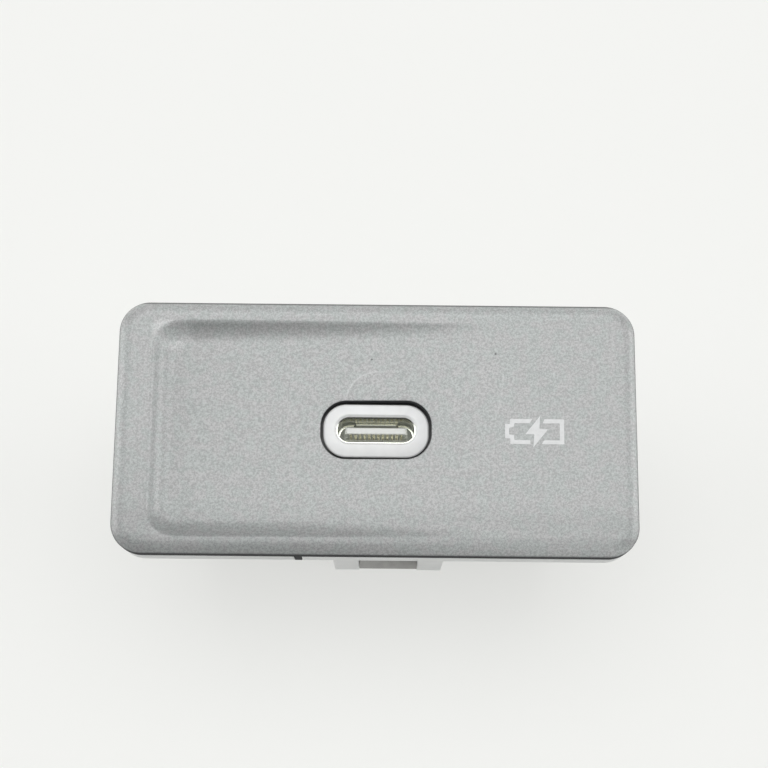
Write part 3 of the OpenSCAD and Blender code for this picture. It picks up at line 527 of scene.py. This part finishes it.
def milky_guide(settings):
    """Milky, slightly see-through plastic: satin, with faint clouds and a soft moulded skin, darker towards
    its lower edge as painted shade, and black round the sides and the foot as painted shade for the gap round
    the ring."""
    material, shader, place = open_finish("milky_guide")
    cloud = place.noise(900.0, 3.0)
    skin = place.noise(4200.0, 2.0)
    milk = cloud.between(0.25, 0.75).tint(shade(settings.milk, 0.965), shade(settings.milk, 1.02))
    # Painted shade: the milk is darkened by up to 15% towards the ring's lower edge
    low = place.axis(1).between(settings.centre - 0.6 * MM, settings.centre - 2.9 * MM)
    return close_finish(material, shader, {
        # The sides and the foot are black: painted shade for the gap round the ring
        "Base Color": place.attribute("masked").tint(milk.scaled(1.0 - low * 0.15), settings.mask),
        "Roughness": skin * 0.12 + 0.3,
        "Normal": skin.bump(0.003 * MM, 0.5),
        "Subsurface Weight": 0.25,
        "Subsurface Radius": (0.5, 0.5, 0.55),
        "Subsurface Scale": 0.6 * MM,
    })


def printed_ink(settings):
    """White printed ink: thin in places, with a fine screen texture."""
    material, shader, place = open_finish("sign_print")
    screen = place.noise(5600.0, 2.0)
    thin = place.noise(1500.0, 3.0)
    return close_finish(material, shader, {
        "Base Color": (thin * 0.7 + screen * 0.3).between(0.3, 0.62).tint(
            shade(settings.white, 0.9), settings.white
        ),
        "Roughness": screen * 0.15 + 0.42,
        "Normal": screen.bump(0.003 * MM, 0.6),
    })


def board_laminate(settings):
    """Green solder mask over woven cloth: a fine weave shows through, with copper areas a shade lighter."""
    material, shader, place = open_finish("board_laminate")
    warp, weft = (
        place.make(
            "ShaderNodeTexWave", {"wave_type": "BANDS", "bands_direction": direction},
            {"Vector": place, "Scale": 900.0, "Distortion": 1.0},
        )
        for direction in ("X", "Z")
    )
    fields = place.make("ShaderNodeTexVoronoi", {"distance": "CHEBYCHEV"}, {"Vector": place, "Scale": 190.0})
    copper = fields.between(0.38, 0.46)
    weave = warp * 0.5 + weft * 0.5
    mask = weave.tint(settings.mask_dark, settings.mask_light)
    return close_finish(material, shader, {
        "Base Color": copper.tint(mask, settings.over_copper),
        "Roughness": weave * 0.1 + 0.28,
        "Normal": (weave * 0.6 + copper * 0.4).bump(0.02 * MM, 0.4),
    })


def fired_ceramic(settings):
    """Fired ceramic: a buff body with fine grain."""
    material, shader, place = open_finish("fired_ceramic")
    grain = place.noise(3000.0, 3.0)
    return close_finish(material, shader, {
        "Base Color": grain.between(0.3, 0.7).tint(settings.ceramic_dark, settings.ceramic_light),
        "Roughness": grain * 0.2 + 0.35,
        "Normal": grain.bump(0.01 * MM, 0.5),
    })


def quarter(width, height, radius, share):
    """Quarter of a rounded rectangle by share of its length: up the right side, round the corner and along
    the top."""
    side = height / 2 - radius
    arc = radius * math.pi / 2
    run = share * (side + arc + width / 2 - radius)
    angle = np.clip((run - side) / radius, 0.0, math.pi / 2)
    x = width / 2 - radius + radius * np.cos(angle) - np.maximum(run - side - arc, 0.0)
    y = np.minimum(run, side) + radius * np.sin(angle)
    return np.stack([x, y], axis=1)


def outline(width, height, radius, level, middle=0.0, count=AROUND):
    """Rounded rectangle as a loop of points at one level: a quarter, its mirror image, and both turned half
    round."""
    share = np.arange(count // 4) * 4 / count
    first = quarter(width, height, radius, share)
    second = quarter(width, height, radius, 1.0 - share) * (-1.0, 1.0)
    half = np.concatenate([first, second])
    flat = np.concatenate([half, -half]) + (0.0, middle)
    return np.column_stack([flat, np.full(count, level)])


def rounded_stack(shape, grow, levels, middle=0.0, count=AROUND):
    """Loops of a rounded rectangle, given by its width, height and corner radius, each grown by a distance on
    every side and at a level of its own."""
    width, height, radius = shape
    corners = np.maximum(radius + grow, LEAST_CORNER)
    rows = np.broadcast_arrays(width + 2 * grow, height + 2 * grow, corners, levels)
    return np.stack([outline(*row, middle, count) for row in zip(*rows)])


def ring_skin(loops):
    """Closed skin over loops of points: each loop joins the next, and the last joins the first."""
    rows, count = loops.shape[:2]
    index = np.arange(rows * count).reshape(rows, count)
    ahead = np.roll(index, -1, axis=0)
    faces = np.stack([index, ahead, np.roll(ahead, -1, axis=1), np.roll(index, -1, axis=1)], axis=2)
    return loops.reshape(-1, 3), faces.reshape(-1, 4).tolist()


def prism(profile, start, end, order):
    """Outline of points extruded from start to end. order gives the places of the outline's two axes and of
    the depth."""
    count = len(profile)
    points = np.empty((2 * count, 3))
    points[:, order[0]] = np.tile(profile[:, 0], 2)
    points[:, order[1]] = np.tile(profile[:, 1], 2)
    points[:, order[2]] = np.repeat([start, end], count)
    index = np.arange(count)
    after = np.roll(index, -1)
    sides = np.stack([index, after, after + count, index + count], axis=1).tolist()
    return points, sides + [index[::-1].tolist(), (index + count).tolist()]


def rounded_corners(points, radius, steps=4):
    """Closed outline whose corners become short curves, each a parabola between points on its two sides."""
    before = np.roll(points, 1, axis=0) - points
    after = np.roll(points, -1, axis=0) - points
    start = points + before * (radius / np.linalg.norm(before, axis=1))[:, None]
    end = points + after * (radius / np.linalg.norm(after, axis=1))[:, None]
    t = np.linspace(0.0, 1.0, steps + 1)[None, :, None]
    curve = start[:, None] * (1 - t) ** 2 + points[:, None] * 2 * t * (1 - t) + end[:, None] * t ** 2
    return curve.reshape(-1, 2)


def point_count(shells):
    """Number of points in all shells."""
    return sum(len(points) for points, faces in shells)


def add_piece(name, shells, material, attributes=None):
    """One mesh object from closed shells of points and faces, smooth but for its sharp edges."""
    starts = np.cumsum([0] + [len(points) for points, faces in shells]).tolist()
    points = np.concatenate([points for points, faces in shells])
    faces = [
        [corner + start for corner in face] for start, shell in zip(starts, shells) for face in shell[1]
    ]
    mesh = bpy.data.meshes.new(name)
    mesh.from_pydata(points, [], faces)
    for key, values in (attributes or {}).items():
        mesh.attributes.new(key, "FLOAT", "POINT").data.foreach_set("value", values.astype(np.float32))
    mesh.update()
    mesh.shade_smooth()
    mesh.set_sharp_from_angle(angle=SHARP)
    return place_piece(name, mesh, material)


def place_piece(name, mesh, material):
    """Puts a mesh in the scene as a piece that rides on the part."""
    mesh.materials.clear()
    mesh.materials.append(material)
    piece = bpy.data.objects.new(name, mesh)
    bpy.context.collection.objects.link(piece)
    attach(piece, "root")
    return piece


def softened_copy(node, name, material, width, segments=2):
    """Merged copy of a solid with its flat faces joined and its edges softened, in the solid's place."""
    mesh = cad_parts[node].data.copy()
    mesh.name = name
    cage = bmesh.new()
    cage.from_mesh(mesh)
    bmesh.ops.remove_doubles(cage, verts=cage.verts, dist=MERGE)
    bmesh.ops.dissolve_limit(cage, angle_limit=FLAT, verts=cage.verts, edges=cage.edges)
    cage.to_mesh(mesh)
    cage.free()
    mesh.shade_smooth()
    piece = place_piece(name, mesh, material)
    soft = piece.modifiers.new("Softened edges", "BEVEL")
    soft.width = width
    soft.segments = segments
    soft.limit_method = "ANGLE"
    soft.angle_limit = SHARP
    soft.harden_normals = True
    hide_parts(node)
    return piece


def dress(material, *nodes):
    """Gives solids their material."""
    for node in nodes:
        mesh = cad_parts[node].data
        mesh.materials.clear()
        mesh.materials.append(material)


def depth_of_dish(settings, x, y):
    """Depth of the finger dish: its floor rises in a straight line from the deep end, and near its rim the
    depth is a share whose slope grows evenly over the rounding, then fades with the square of the distance
    left."""
    start = settings.dish_side - settings.width / 2
    reach = start + settings.dish_length - x
    floor = settings.dish_depth / settings.dish_length * (reach + np.hypot(reach, settings.dish_run_out)) / 2
    half = settings.height / 2 - settings.dish_rim
    corner = settings.dish_wall + settings.dish_corner
    from_left = x - start
    from_long = half - np.abs(y + settings.dish_drop)
    in_corner = (from_left < corner) & (from_long < corner)
    inside = np.where(
        in_corner,
        corner - np.hypot(corner - from_left, corner - from_long),
        np.minimum(from_left, from_long),
    )
    run = np.clip(inside, 0.0, settings.dish_wall)
    edge = settings.dish_round
    fade = settings.dish_wall - edge
    whole = edge / 2 + fade / 3
    left = (settings.dish_wall - run) / fade
    share = np.where(run < edge, run ** 2 / (2 * edge * whole), 1.0 - fade * left ** 3 / (3 * whole))
    return floor * share


def ring_foot(ring):
    """Width, height and corner radius of the light ring's foot."""
    return span("light_guide", 0), span("light_guide", 1), ring.foot_corner


def fascia_skin(settings, ring, sign, z_face):
    """Skin of the fascia as loops from the hole's edge over the face, down the curved band and the side, and
    back along the underside. Returns the shell and how bare of paint each point is."""
    shape = (settings.width, settings.height, settings.corner)
    ring_shape = (ring.width, ring.height, ring.corner)
    top = z_face - sign.ink
    z_back = z_face - settings.thickness
    # Face: loops that run parallel to the outline past the dish's wall, then narrow to the hole
    past_wall = 6.4 * MM
    parallel = rounded_stack(shape, -np.linspace(settings.band, past_wall, 62), top)
    gap, edge = settings.hole_gap, settings.hole_edge
    rim, rim_edge = rounded_stack(ring_shape, np.array([gap, gap + edge]), top, ring.centre)
    blend = np.linspace(0.0, 1.0, 14)[:-1, None, None]
    face = np.concatenate([rim_edge * (1 - blend) + parallel[-1] * blend, parallel[::-1]])
    # Rounded edge of the hole, from its wall to the face
    turn = np.linspace(0.0, math.pi / 2, 5)[:-1, None, None]
    hole_edge = rim + (rim_edge - rim) * (1 - np.cos(turn))
    hole_edge[:, :, 2] = top - edge + edge * np.sin(turn)[:, :, 0]
    over_dish = np.concatenate([hole_edge, face])
    over_dish[:, :, 2] -= depth_of_dish(settings, over_dish[:, :, 0], over_dish[:, :, 1])
    # Curved band, with a small rounding between it and the side
    slope = settings.band_slope
    small = settings.edge
    large = (settings.band - small * (1 - math.sin(slope))) / math.sin(slope)
    bend = np.linspace(0.0, slope, 15)[1:]
    inset = settings.band - large * np.sin(bend)
    drop = large * (1 - np.cos(bend))
    tight = np.linspace(slope, math.pi / 2, 6)[1:]
    inset = np.concatenate([inset, small * (1 - np.sin(tight))])
    drop = np.concatenate([drop, drop[-1] + small * (math.cos(slope) - np.cos(tight))])
    band = rounded_stack(shape, -inset, top - drop)
    # Side, underside, recess for the foot of the light guide, and wall of the hole
    back = settings.back_edge
    inset = back * np.array([0.0, 0.0, 0.3, 1.0])
    side = rounded_stack(shape, -inset, z_back + back * np.array([2.0, 1.0, 0.3, 0.0]))
    deep = z_back + ring.foot + ring.clearance / 2
    under = rounded_stack(ring_foot(ring), ring.clearance, np.array([z_back, deep]), ring.centre)
    wall_top = z_back + 1.0 * MM
    wall = rounded_stack(ring_shape, gap, np.array([deep, wall_top]), ring.centre)
    loops = np.concatenate([over_dish, band, side, under, wall])
    worn_edge, misted_wall = (0.25, 0.6), 0.86
    bare = np.concatenate([
        np.linspace(1.0, 0.0, len(hole_edge)), np.zeros(len(face)), np.zeros(len(bend) - 2), worn_edge,
        np.linspace(0.8, 1.0, len(tight)), np.ones(len(side) + len(under)), np.full(len(wall), misted_wall),
    ])
    # A small nick in the outline near the lower right corner
    nick_depth, nick_y, nick_half, nick_reach = 0.1 * MM, -12.5 * MM, 0.25 * MM, 0.9 * MM
    nick = nick_depth * np.exp(-((loops[:, :, 1] - nick_y) / nick_half) ** 2)
    reach = np.clip((loops[:, :, 0] - settings.width / 2 + nick_reach) / nick_reach, 0.0, 1.0)
    loops[:, :, 0] -= nick * reach
    return ring_skin(loops), np.repeat(bare, AROUND)


def fascia_hooks(settings, z_face):
    """Four snap hooks: one profile across the face, extruded along it, in four mirrored places."""
    z_front = z_face - settings.thickness
    z_root = z_front + settings.root
    z_catch = z_front - settings.hook_reach
    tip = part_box("fascia")[0].z
    y0, y1, catch = settings.hook_inside, settings.hook_outside, settings.hook_catch
    profile = np.array([
        (y0, z_root), (y0, tip), (y1, tip), (y1 + catch, z_catch - catch / 2),
        (y1 + catch, z_catch), (y1, z_catch), (y1, z_root),
    ])
    mirrored = (profile * (-1.0, 1.0))[::-1]
    half = settings.hook_width / 2
    return [
        prism(shape, x - half, x + half, (1, 2, 0))
        for shape in (profile, mirrored) for x in (-settings.hook_place, settings.hook_place)
    ]


def fascia_key(settings, z_face):
    """Key in the notch of the flange's lower edge: a small box, flush with the flange."""
    z_front = z_face - settings.thickness
    middle = settings.key_inset + (settings.key_depth - settings.height) / 2
    profile = SQUARE * (settings.key_width / 2, settings.key_depth / 2) + (settings.key_place, middle)
    return prism(profile, z_front - settings.key_reach, z_front + settings.root, (0, 1, 2))


class SOCKET_OT_fascia(bpy.types.Operator):
    """Make the painted fascia with its finger dish and snap hooks"""

    bl_idname = "charging_socket.fascia"
    bl_label = "Fascia"

    def execute(self, context):
        settings = context.scene.charging_socket
        z_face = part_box("fascia")[1].z
        skin, bare = fascia_skin(settings.fascia, settings.ring, settings.sign, z_face)
        behind = [*fascia_hooks(settings.fascia, z_face), fascia_key(settings.fascia, z_face)]
        bare = np.concatenate([bare, np.ones(point_count(behind))])
        piece = add_piece(
            "fascia_skin", [skin, *behind], fascia_paint(settings.fascia), {"bare": bare}
        )
        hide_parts("fascia")
        return {"FINISHED"}


def mouth_stack(mouth, grow, levels, count=AROUND_MOUTH):
    """Loops of the mouth's outline, whose ends are half round, each grown by a distance and at a level of its
    own."""
    shape = (mouth.mouth_width, mouth.mouth_height, mouth.mouth_height / 2)
    return rounded_stack(shape, grow, levels, mouth.centre, count)


def light_ring_skin(ring, mouth, z_ring, z_front):
    """Skin of the light ring as loops up the bore for the shell, over the lip and the curved band, and down
    the side to the foot. Returns the shell and how far each point is masked."""
    # Bore for the shell, then the lip: from its back up the chamfer, whose two edges are rounded
    turn = np.linspace(0.0, math.pi / 4, 4)
    tight = ring.lip_round
    run_in = tight * math.tan(math.pi / 8)
    cut = ring.lip_chamfer + run_in
    grow = np.concatenate([[0.0], tight * (1 - np.cos(turn)), cut - tight * np.sin(turn[::-1])])
    drop = np.concatenate([[ring.lip], cut - tight * np.sin(turn), tight * (1 - np.cos(turn[::-1]))])
    lip = mouth_stack(mouth, ring.reveal + grow, z_ring - drop, AROUND)
    bore = mouth_stack(mouth, mouth.sheet + ring.clearance, np.array([z_front, z_ring - ring.lip]), AROUND)
    # Curved band of the ring, its side and its foot
    shape = (ring.width, ring.height, ring.corner)
    bend = np.linspace(0.0, ring.band_slope, 9)
    large = ring.band / math.sin(ring.band_slope)
    band = rounded_stack(
        shape, large * np.sin(bend) - ring.band, z_ring - large * (1 - np.cos(bend)), ring.centre
    )
    below_band, z_foot = z_ring - 1.2 * ring.band, z_front + ring.foot
    side = rounded_stack(shape, 0.0, np.array([below_band, z_foot]), ring.centre)
    plate = rounded_stack(ring_foot(ring), 0.0, np.array([z_foot, z_front]), ring.centre)
    loops = np.concatenate([bore, lip, band, side, plate])
    # 1 on the side and the foot, which are black as painted shade for the gap round the ring
    masked = np.repeat([0.0, 1.0], [len(bore) + len(lip) + len(band), len(side) + len(plate)])
    return ring_skin(loops), np.repeat(masked, AROUND)


def light_ring_legs(ring, z_low, z_high):
    """Two legs down to the light sources: boxes as wide as the sources, with rounded corners."""
    low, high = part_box("light_source_right")
    x, y = (low.x + high.x) / 2, (low.y + high.y) / 2
    foot = SQUARE * ((high.x - low.x) / 2, ring.leg_depth / 2)
    return [
        prism(rounded_corners(foot + (side * x, y), ring.leg_round), z_low, z_high, (0, 1, 2))
        for side in (-1.0, 1.0)
    ]


class SOCKET_OT_light_ring(bpy.types.Operator):
    """Make the milky light ring with its foot and legs"""

    bl_idname = "charging_socket.light_ring"
    bl_label = "Light Ring"

    def execute(self, context):
        settings = context.scene.charging_socket
        ring = settings.ring
        low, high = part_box("light_guide")
        z_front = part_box("fascia")[1].z - settings.fascia.thickness
        skin, masked = light_ring_skin(ring, settings.receptacle, high.z, z_front)
        legs = light_ring_legs(ring, low.z, z_front + ring.foot / 2)
        masked = np.concatenate([masked, np.zeros(point_count(legs))])
        piece = add_piece("light_ring", [skin, *legs], milky_guide(ring), {"masked": masked})
        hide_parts("light_guide")
        return {"FINISHED"}


def receptacle_shell(mouth, z_low, z_high):
    """Skin of the shell as loops up its inside, over the rounded front edge and down its outside."""
    turn = np.linspace(0.0, math.pi / 2, 5)
    grow = mouth.edge * (1 - np.cos(turn))
    levels = z_high - mouth.edge * (1 - np.sin(turn))
    return ring_skin(np.concatenate([
        mouth_stack(mouth, grow, levels),
        mouth_stack(mouth, mouth.sheet - grow[::-1], levels[::-1]),
        mouth_stack(mouth, np.array([mouth.sheet, 0.0]), z_low),
    ]))


def tongue_collar(mouth, z_seat):
    """Thin collar round the tongue's root: loops just inside the shell, whose front edge rises to a leaf in
    the middle of each long side."""
    inset = mouth.collar_gap + mouth.collar_sheet * np.array([1.0, 1.0, 0.0, 0.0])
    loops = mouth_stack(mouth, -inset, z_seat + mouth.collar * np.array([0.0, 1.0, 1.0, 0.0]))
    inside = mouth.leaf_width / 2 - np.abs(loops[1:3, :, 0])
    loops[1:3, :, 2] += (mouth.leaf - mouth.collar) * np.clip(inside / mouth.leaf_slope, 0.0, 1.0)
    return ring_skin(loops)


class SOCKET_OT_receptacle(bpy.types.Operator):
    """Make the drawn shell of the receptacle, and finish its tongue and contacts"""

    bl_idname = "charging_socket.receptacle"
    bl_label = "Receptacle"

    def execute(self, context):
        mouth = context.scene.charging_socket.receptacle
        low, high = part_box("usb_shell")
        steel = shell_steel(mouth, high.z)
        x = (mouth.mouth_width + mouth.sheet) / 2
        foot = SQUARE * (mouth.sheet / 2, mouth.leg_width / 2)
        legs = [
            prism((foot + (side * x, z))[::-1], low.y, mouth.centre, (0, 2, 1))
            for side in (-1.0, 1.0) for z in (mouth.front_leg, low.z + mouth.back_leg)
        ]
        piece = add_piece("shell_skin", [receptacle_shell(mouth, low.z, high.z), *legs], steel)
        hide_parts("usb_shell")
        z_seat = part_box("usb_tongue")[1].z - mouth.tongue
        add_piece("tongue_collar", [tongue_collar(mouth, z_seat)], steel)
        dress(steel, "usb_mid_plate", "usb_ground_pads")
        dress(grained_plastic("tongue_insulator", mouth.insulator, 0.42, 6000.0, 0.004 * MM), "usb_tongue")
        gold = drawn_metal("contact_gold", mouth.gold, 0.26, (6000.0, 6000.0, 700.0))
        dress(gold, "usb_contacts_upper", "usb_contacts_lower")
        return {"FINISHED"}


class SOCKET_OT_housing(bpy.types.Operator):
    """Make the housing and the rear cover with softened moulded edges"""

    bl_idname = "charging_socket.housing"
    bl_label = "Housing"

    def execute(self, context):
        settings = context.scene.charging_socket.housing
        grey = grained_plastic("housing_grey", settings.grey, 0.5, 3400.0, 0.012 * MM)
        black = grained_plastic("cover_black", settings.black, 0.46, 3000.0, 0.014 * MM, 0.12)
        softened_copy("housing", "housing_body", grey, settings.edge)
        softened_copy("rear_cover", "cover_body", black, settings.edge)
        return {"FINISHED"}


class SOCKET_OT_clips(bpy.types.Operator):
    """Make the two spring clips"""

    bl_idname = "charging_socket.clips"
    bl_label = "Spring Clips"

    def execute(self, context):
        settings = context.scene.charging_socket.housing
        strip = drawn_metal("spring_steel", settings.spring, 0.34, (1300.0, 500.0, 500.0))
        for node in ("retaining_clip_upper", "retaining_clip_lower"):
            softened_copy(node, node + "_strip", strip, settings.clip_edge)
        return {"FINISHED"}


class SOCKET_OT_electronics(bpy.types.Operator):
    """Finish the circuit board, its components and the wiring terminals"""

    bl_idname = "charging_socket.electronics"
    bl_label = "Electronics"

    def execute(self, context):
        settings = context.scene.charging_socket.electronics
        dress(board_laminate(settings), "main_board")
        resin = grained_plastic("component_black", settings.resin, 0.55, 5200.0, 0.008 * MM, 0.15)
        dress(resin, "pin_header_block", "converter_chip", "charge_controller_chip", "surge_diode")
        dress(grained_plastic("ferrite", settings.ferrite, 0.7, 4200.0, 0.02 * MM, 0.2), "power_inductor")
        can = drawn_metal("can_aluminium", settings.can, 0.36, (600.0, 6000.0, 600.0))
        dress(can, "input_capacitor", "output_capacitor")
        dress(fired_ceramic(settings), "input_fuse", "ceramic_capacitors")
        lens = grained_plastic("light_source_white", settings.lens, 0.3, 5000.0, 0.003 * MM)
        dress(lens, "light_source_left", "light_source_right")
        tin = drawn_metal("pin_tin", settings.tin, 0.32, (6000.0, 6000.0, 500.0))
        dress(tin, "terminal_pin_1", "terminal_pin_2", "terminal_pin_3", "terminal_pin_4")
        return {"FINISHED"}


def signed_area(points):
    """Area of a closed outline, above zero where it runs counter-clockwise."""
    after = np.roll(points, -1, axis=0)
    return 0.5 * np.sum(points[:, 0] * after[:, 1] - points[:, 1] * after[:, 0])


class SOCKET_OT_sign(bpy.types.Operator):
    """Print the charging sign: a battery outline, open round a lightning bolt"""

    bl_idname = "charging_socket.sign"
    bl_label = "Charging Sign"

    def execute(self, context):
        sign = context.scene.charging_socket.sign
        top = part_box("fascia")[1].z
        bolt = [(35.2, -3.2), (20.2, 15.2), (29.3, 15.2), (28.1, 28.5), (43.1, 10.1), (34.4, 9.9)]
        left_half = [
            (27.6, 0.0), (5.1, 0.0), (5.1, 5.0), (0.0, 5.0), (0.0, 19.5), (5.1, 19.5), (5.1, 25.1),
            (25.3, 25.1), (25.3, 21.1), (9.2, 21.1), (9.2, 16.2), (4.1, 15.7), (4.1, 9.1), (9.2, 7.6),
            (9.2, 4.2), (24.7, 4.2),
        ]
        right_half = [
            (39.3, 0.0), (37.8, 4.2), (54.8, 4.2), (54.8, 21.1), (39.0, 21.1), (36.5, 25.1), (59.2, 25.1),
            (59.2, 0.0),
        ]
        shells = []
        for drawing in (bolt, left_half, right_half):
            points = np.array(drawing) * (sign.unit_x, -sign.unit_y) + (sign.left, sign.top)
            turned = points if signed_area(points) > 0 else points[::-1]
            shells.append(prism(rounded_corners(turned, sign.corner), top - 2 * sign.ink, top, (0, 1, 2)))
        add_piece("charging_sign", shells, printed_ink(sign))
        return {"FINISHED"}


class SOCKET_OT_stage(bpy.types.Operator):
    """Set up the pale floor, the panel overhead, the surroundings and the camera"""

    bl_idname = "charging_socket.stage"
    bl_label = "Stage"

    def execute(self, context):
        settings = context.scene.charging_socket.stage
        self.lay_floor(settings)
        self.hang_panel(settings)
        self.light_world(settings)
        self.set_camera(settings)
        context.scene.view_settings.view_transform = "Standard"
        return {"FINISHED"}

    def lay_floor(self, settings):
        """Large pale square under the part, like a lit table to the camera and in reflections."""
        mesh = bpy.data.meshes.new("floor")
        corners = np.column_stack([SQUARE * settings.floor_size / 2, np.full(4, -settings.floor_drop)])
        mesh.from_pydata(corners, [], [[0, 1, 2, 3]])
        material, shader, place = open_finish("floor_white")
        sheet = place.noise(9.0, 3.0)
        close_finish(material, shader, {
            "Base Color": sheet.tint(shade(settings.floor, 0.995), shade(settings.floor, 1.005)),
            "Roughness": 0.9,
            "Specular IOR Level": 0.1,
        })
        tree = material.node_tree
        seen = place.ray("Camera") + place.ray("Glossy")
        glow = seen.make(
            "ShaderNodeEmission", {},
            {"Color": solid(settings.table_light), "Strength": settings.table_strength},
        )
        lit = seen.make(
            "ShaderNodeMixShader", {},
            {0: seen * settings.table_glow, 1: Signal(tree, shader.outputs[0]), 2: glow},
        )
        tree.links.new(lit.socket, tree.nodes["Material Output"].inputs["Surface"])
        mesh.materials.append(material)
        floor = bpy.data.objects.new("floor", mesh)
        bpy.context.collection.objects.link(floor)

    def hang_panel(self, settings):
        """Soft rectangular lamp overhead that faces the part."""
        lamp = bpy.data.lights.new("panel", "AREA")
        lamp.shape = "RECTANGLE"
        lamp.size = settings.panel_width
        lamp.size_y = settings.panel_depth
        lamp.energy = settings.panel
        holder = bpy.data.objects.new("panel", lamp)
        place = np.array(settings.panel_place)
        z = place - (0.0, 0.0, settings.panel_aim)
        z = z / np.linalg.norm(z)
        x = np.cross((0.0, 0.0, 1.0), z)
        x = x / np.linalg.norm(x)
        turn = np.column_stack([x, np.cross(z, x), z])
        holder.matrix_world = Matrix.Translation(place) @ Matrix(turn.tolist()).to_4x4()
        bpy.context.collection.objects.link(holder)

    def light_world(self, settings):
        """Even soft light, a band of light from side to side over the part, like rows of ceiling lamps, and
        some light from the viewer's side, with a pale background where the camera looks past the floor."""
        world = bpy.data.worlds.new("studio")
        world.use_nodes = True
        bpy.context.scene.world = world
        tree = world.node_tree
        way = Signal(tree).make("ShaderNodeTexCoord", {}, {}, "Generated")
        seen = way.ray("Camera")
        strip = abs(way.axis(1) - settings.strip_lean).between(0.5, 0.1)
        ends = abs(way.axis(0)).between(0.75, 0.95) * settings.strip_ends + 1.0
        front = way.axis(1).between(-0.3, -0.8) * settings.front
        light = strip * ends * settings.strip + front + settings.world
        strength = seen * (settings.backdrop - light) + light
        background = tree.nodes["Background"]
        background.inputs["Color"].default_value = (1.0, 1.0, 1.0, 1.0)
        tree.links.new(strength.socket, background.inputs["Strength"])

    def set_camera(self, settings):
        """Camera nearly straight above the face, a little towards the wiring socket's lock ramp."""
        lens = bpy.data.cameras.new("camera")
        lens.sensor_width = 36.0
        lens.lens = settings.lens
        lens.clip_start = 0.01
        camera = bpy.data.objects.new("camera", lens)
        turn = Matrix((
            (0.999951, -0.009853, 0.000433),
            (0.00969, 0.973404, -0.228891),
            (0.001834, 0.228884, 0.973452),
        ))
        place_mm = (0.8928, -35.0141, 212.213)
        camera.matrix_world = Matrix.Translation([value * MM for value in place_mm]) @ turn.to_4x4()
        bpy.context.collection.objects.link(camera)
        bpy.context.scene.camera = camera


class SOCKET_PT_sidebar(bpy.types.Panel):
    """Lists the pieces of the charging socket"""

    bl_idname = "SOCKET_PT_sidebar"
    bl_label = "Charging Socket"
    bl_space_type = "VIEW_3D"
    bl_region_type = "UI"
    bl_category = "Charging Socket"

    def draw(self, context):
        settings = context.scene.charging_socket
        for operator, group in PIECES:
            column = self.layout.box().column()
            column.operator(operator.bl_idname)
            if group:
                values = getattr(settings, group)
                for name in values.__annotations__:
                    column.prop(values, name)


PIECES = (
    (SOCKET_OT_fascia, "fascia"),
    (SOCKET_OT_light_ring, "ring"),
    (SOCKET_OT_receptacle, "receptacle"),
    (SOCKET_OT_housing, "housing"),
    (SOCKET_OT_clips, None),
    (SOCKET_OT_electronics, "electronics"),
    (SOCKET_OT_sign, "sign"),
    (SOCKET_OT_stage, "stage"),
)
CLASSES = (
    FasciaSettings, RingSettings, ReceptacleSettings, HousingSettings, ElectronicsSettings, SignSettings,
    StageSettings, SocketSettings, *(operator for operator, group in PIECES), SOCKET_PT_sidebar,
)


def register():
    """Adds the classes and the scene's settings."""
    for cls in CLASSES:
        bpy.utils.register_class(cls)
    bpy.types.Scene.charging_socket = PointerProperty(type=SocketSettings)


def unregister():
    """Removes the scene's settings and the classes."""
    del bpy.types.Scene.charging_socket
    for cls in reversed(CLASSES):
        bpy.utils.unregister_class(cls)


def main():
    """Makes all pieces and the stage."""
    register()
    bpy.ops.charging_socket.fascia()
    bpy.ops.charging_socket.light_ring()
    bpy.ops.charging_socket.receptacle()
    bpy.ops.charging_socket.housing()
    bpy.ops.charging_socket.clips()
    bpy.ops.charging_socket.electronics()
    bpy.ops.charging_socket.sign()
    bpy.ops.charging_socket.stage()


if __name__ == "__main__":
    main()
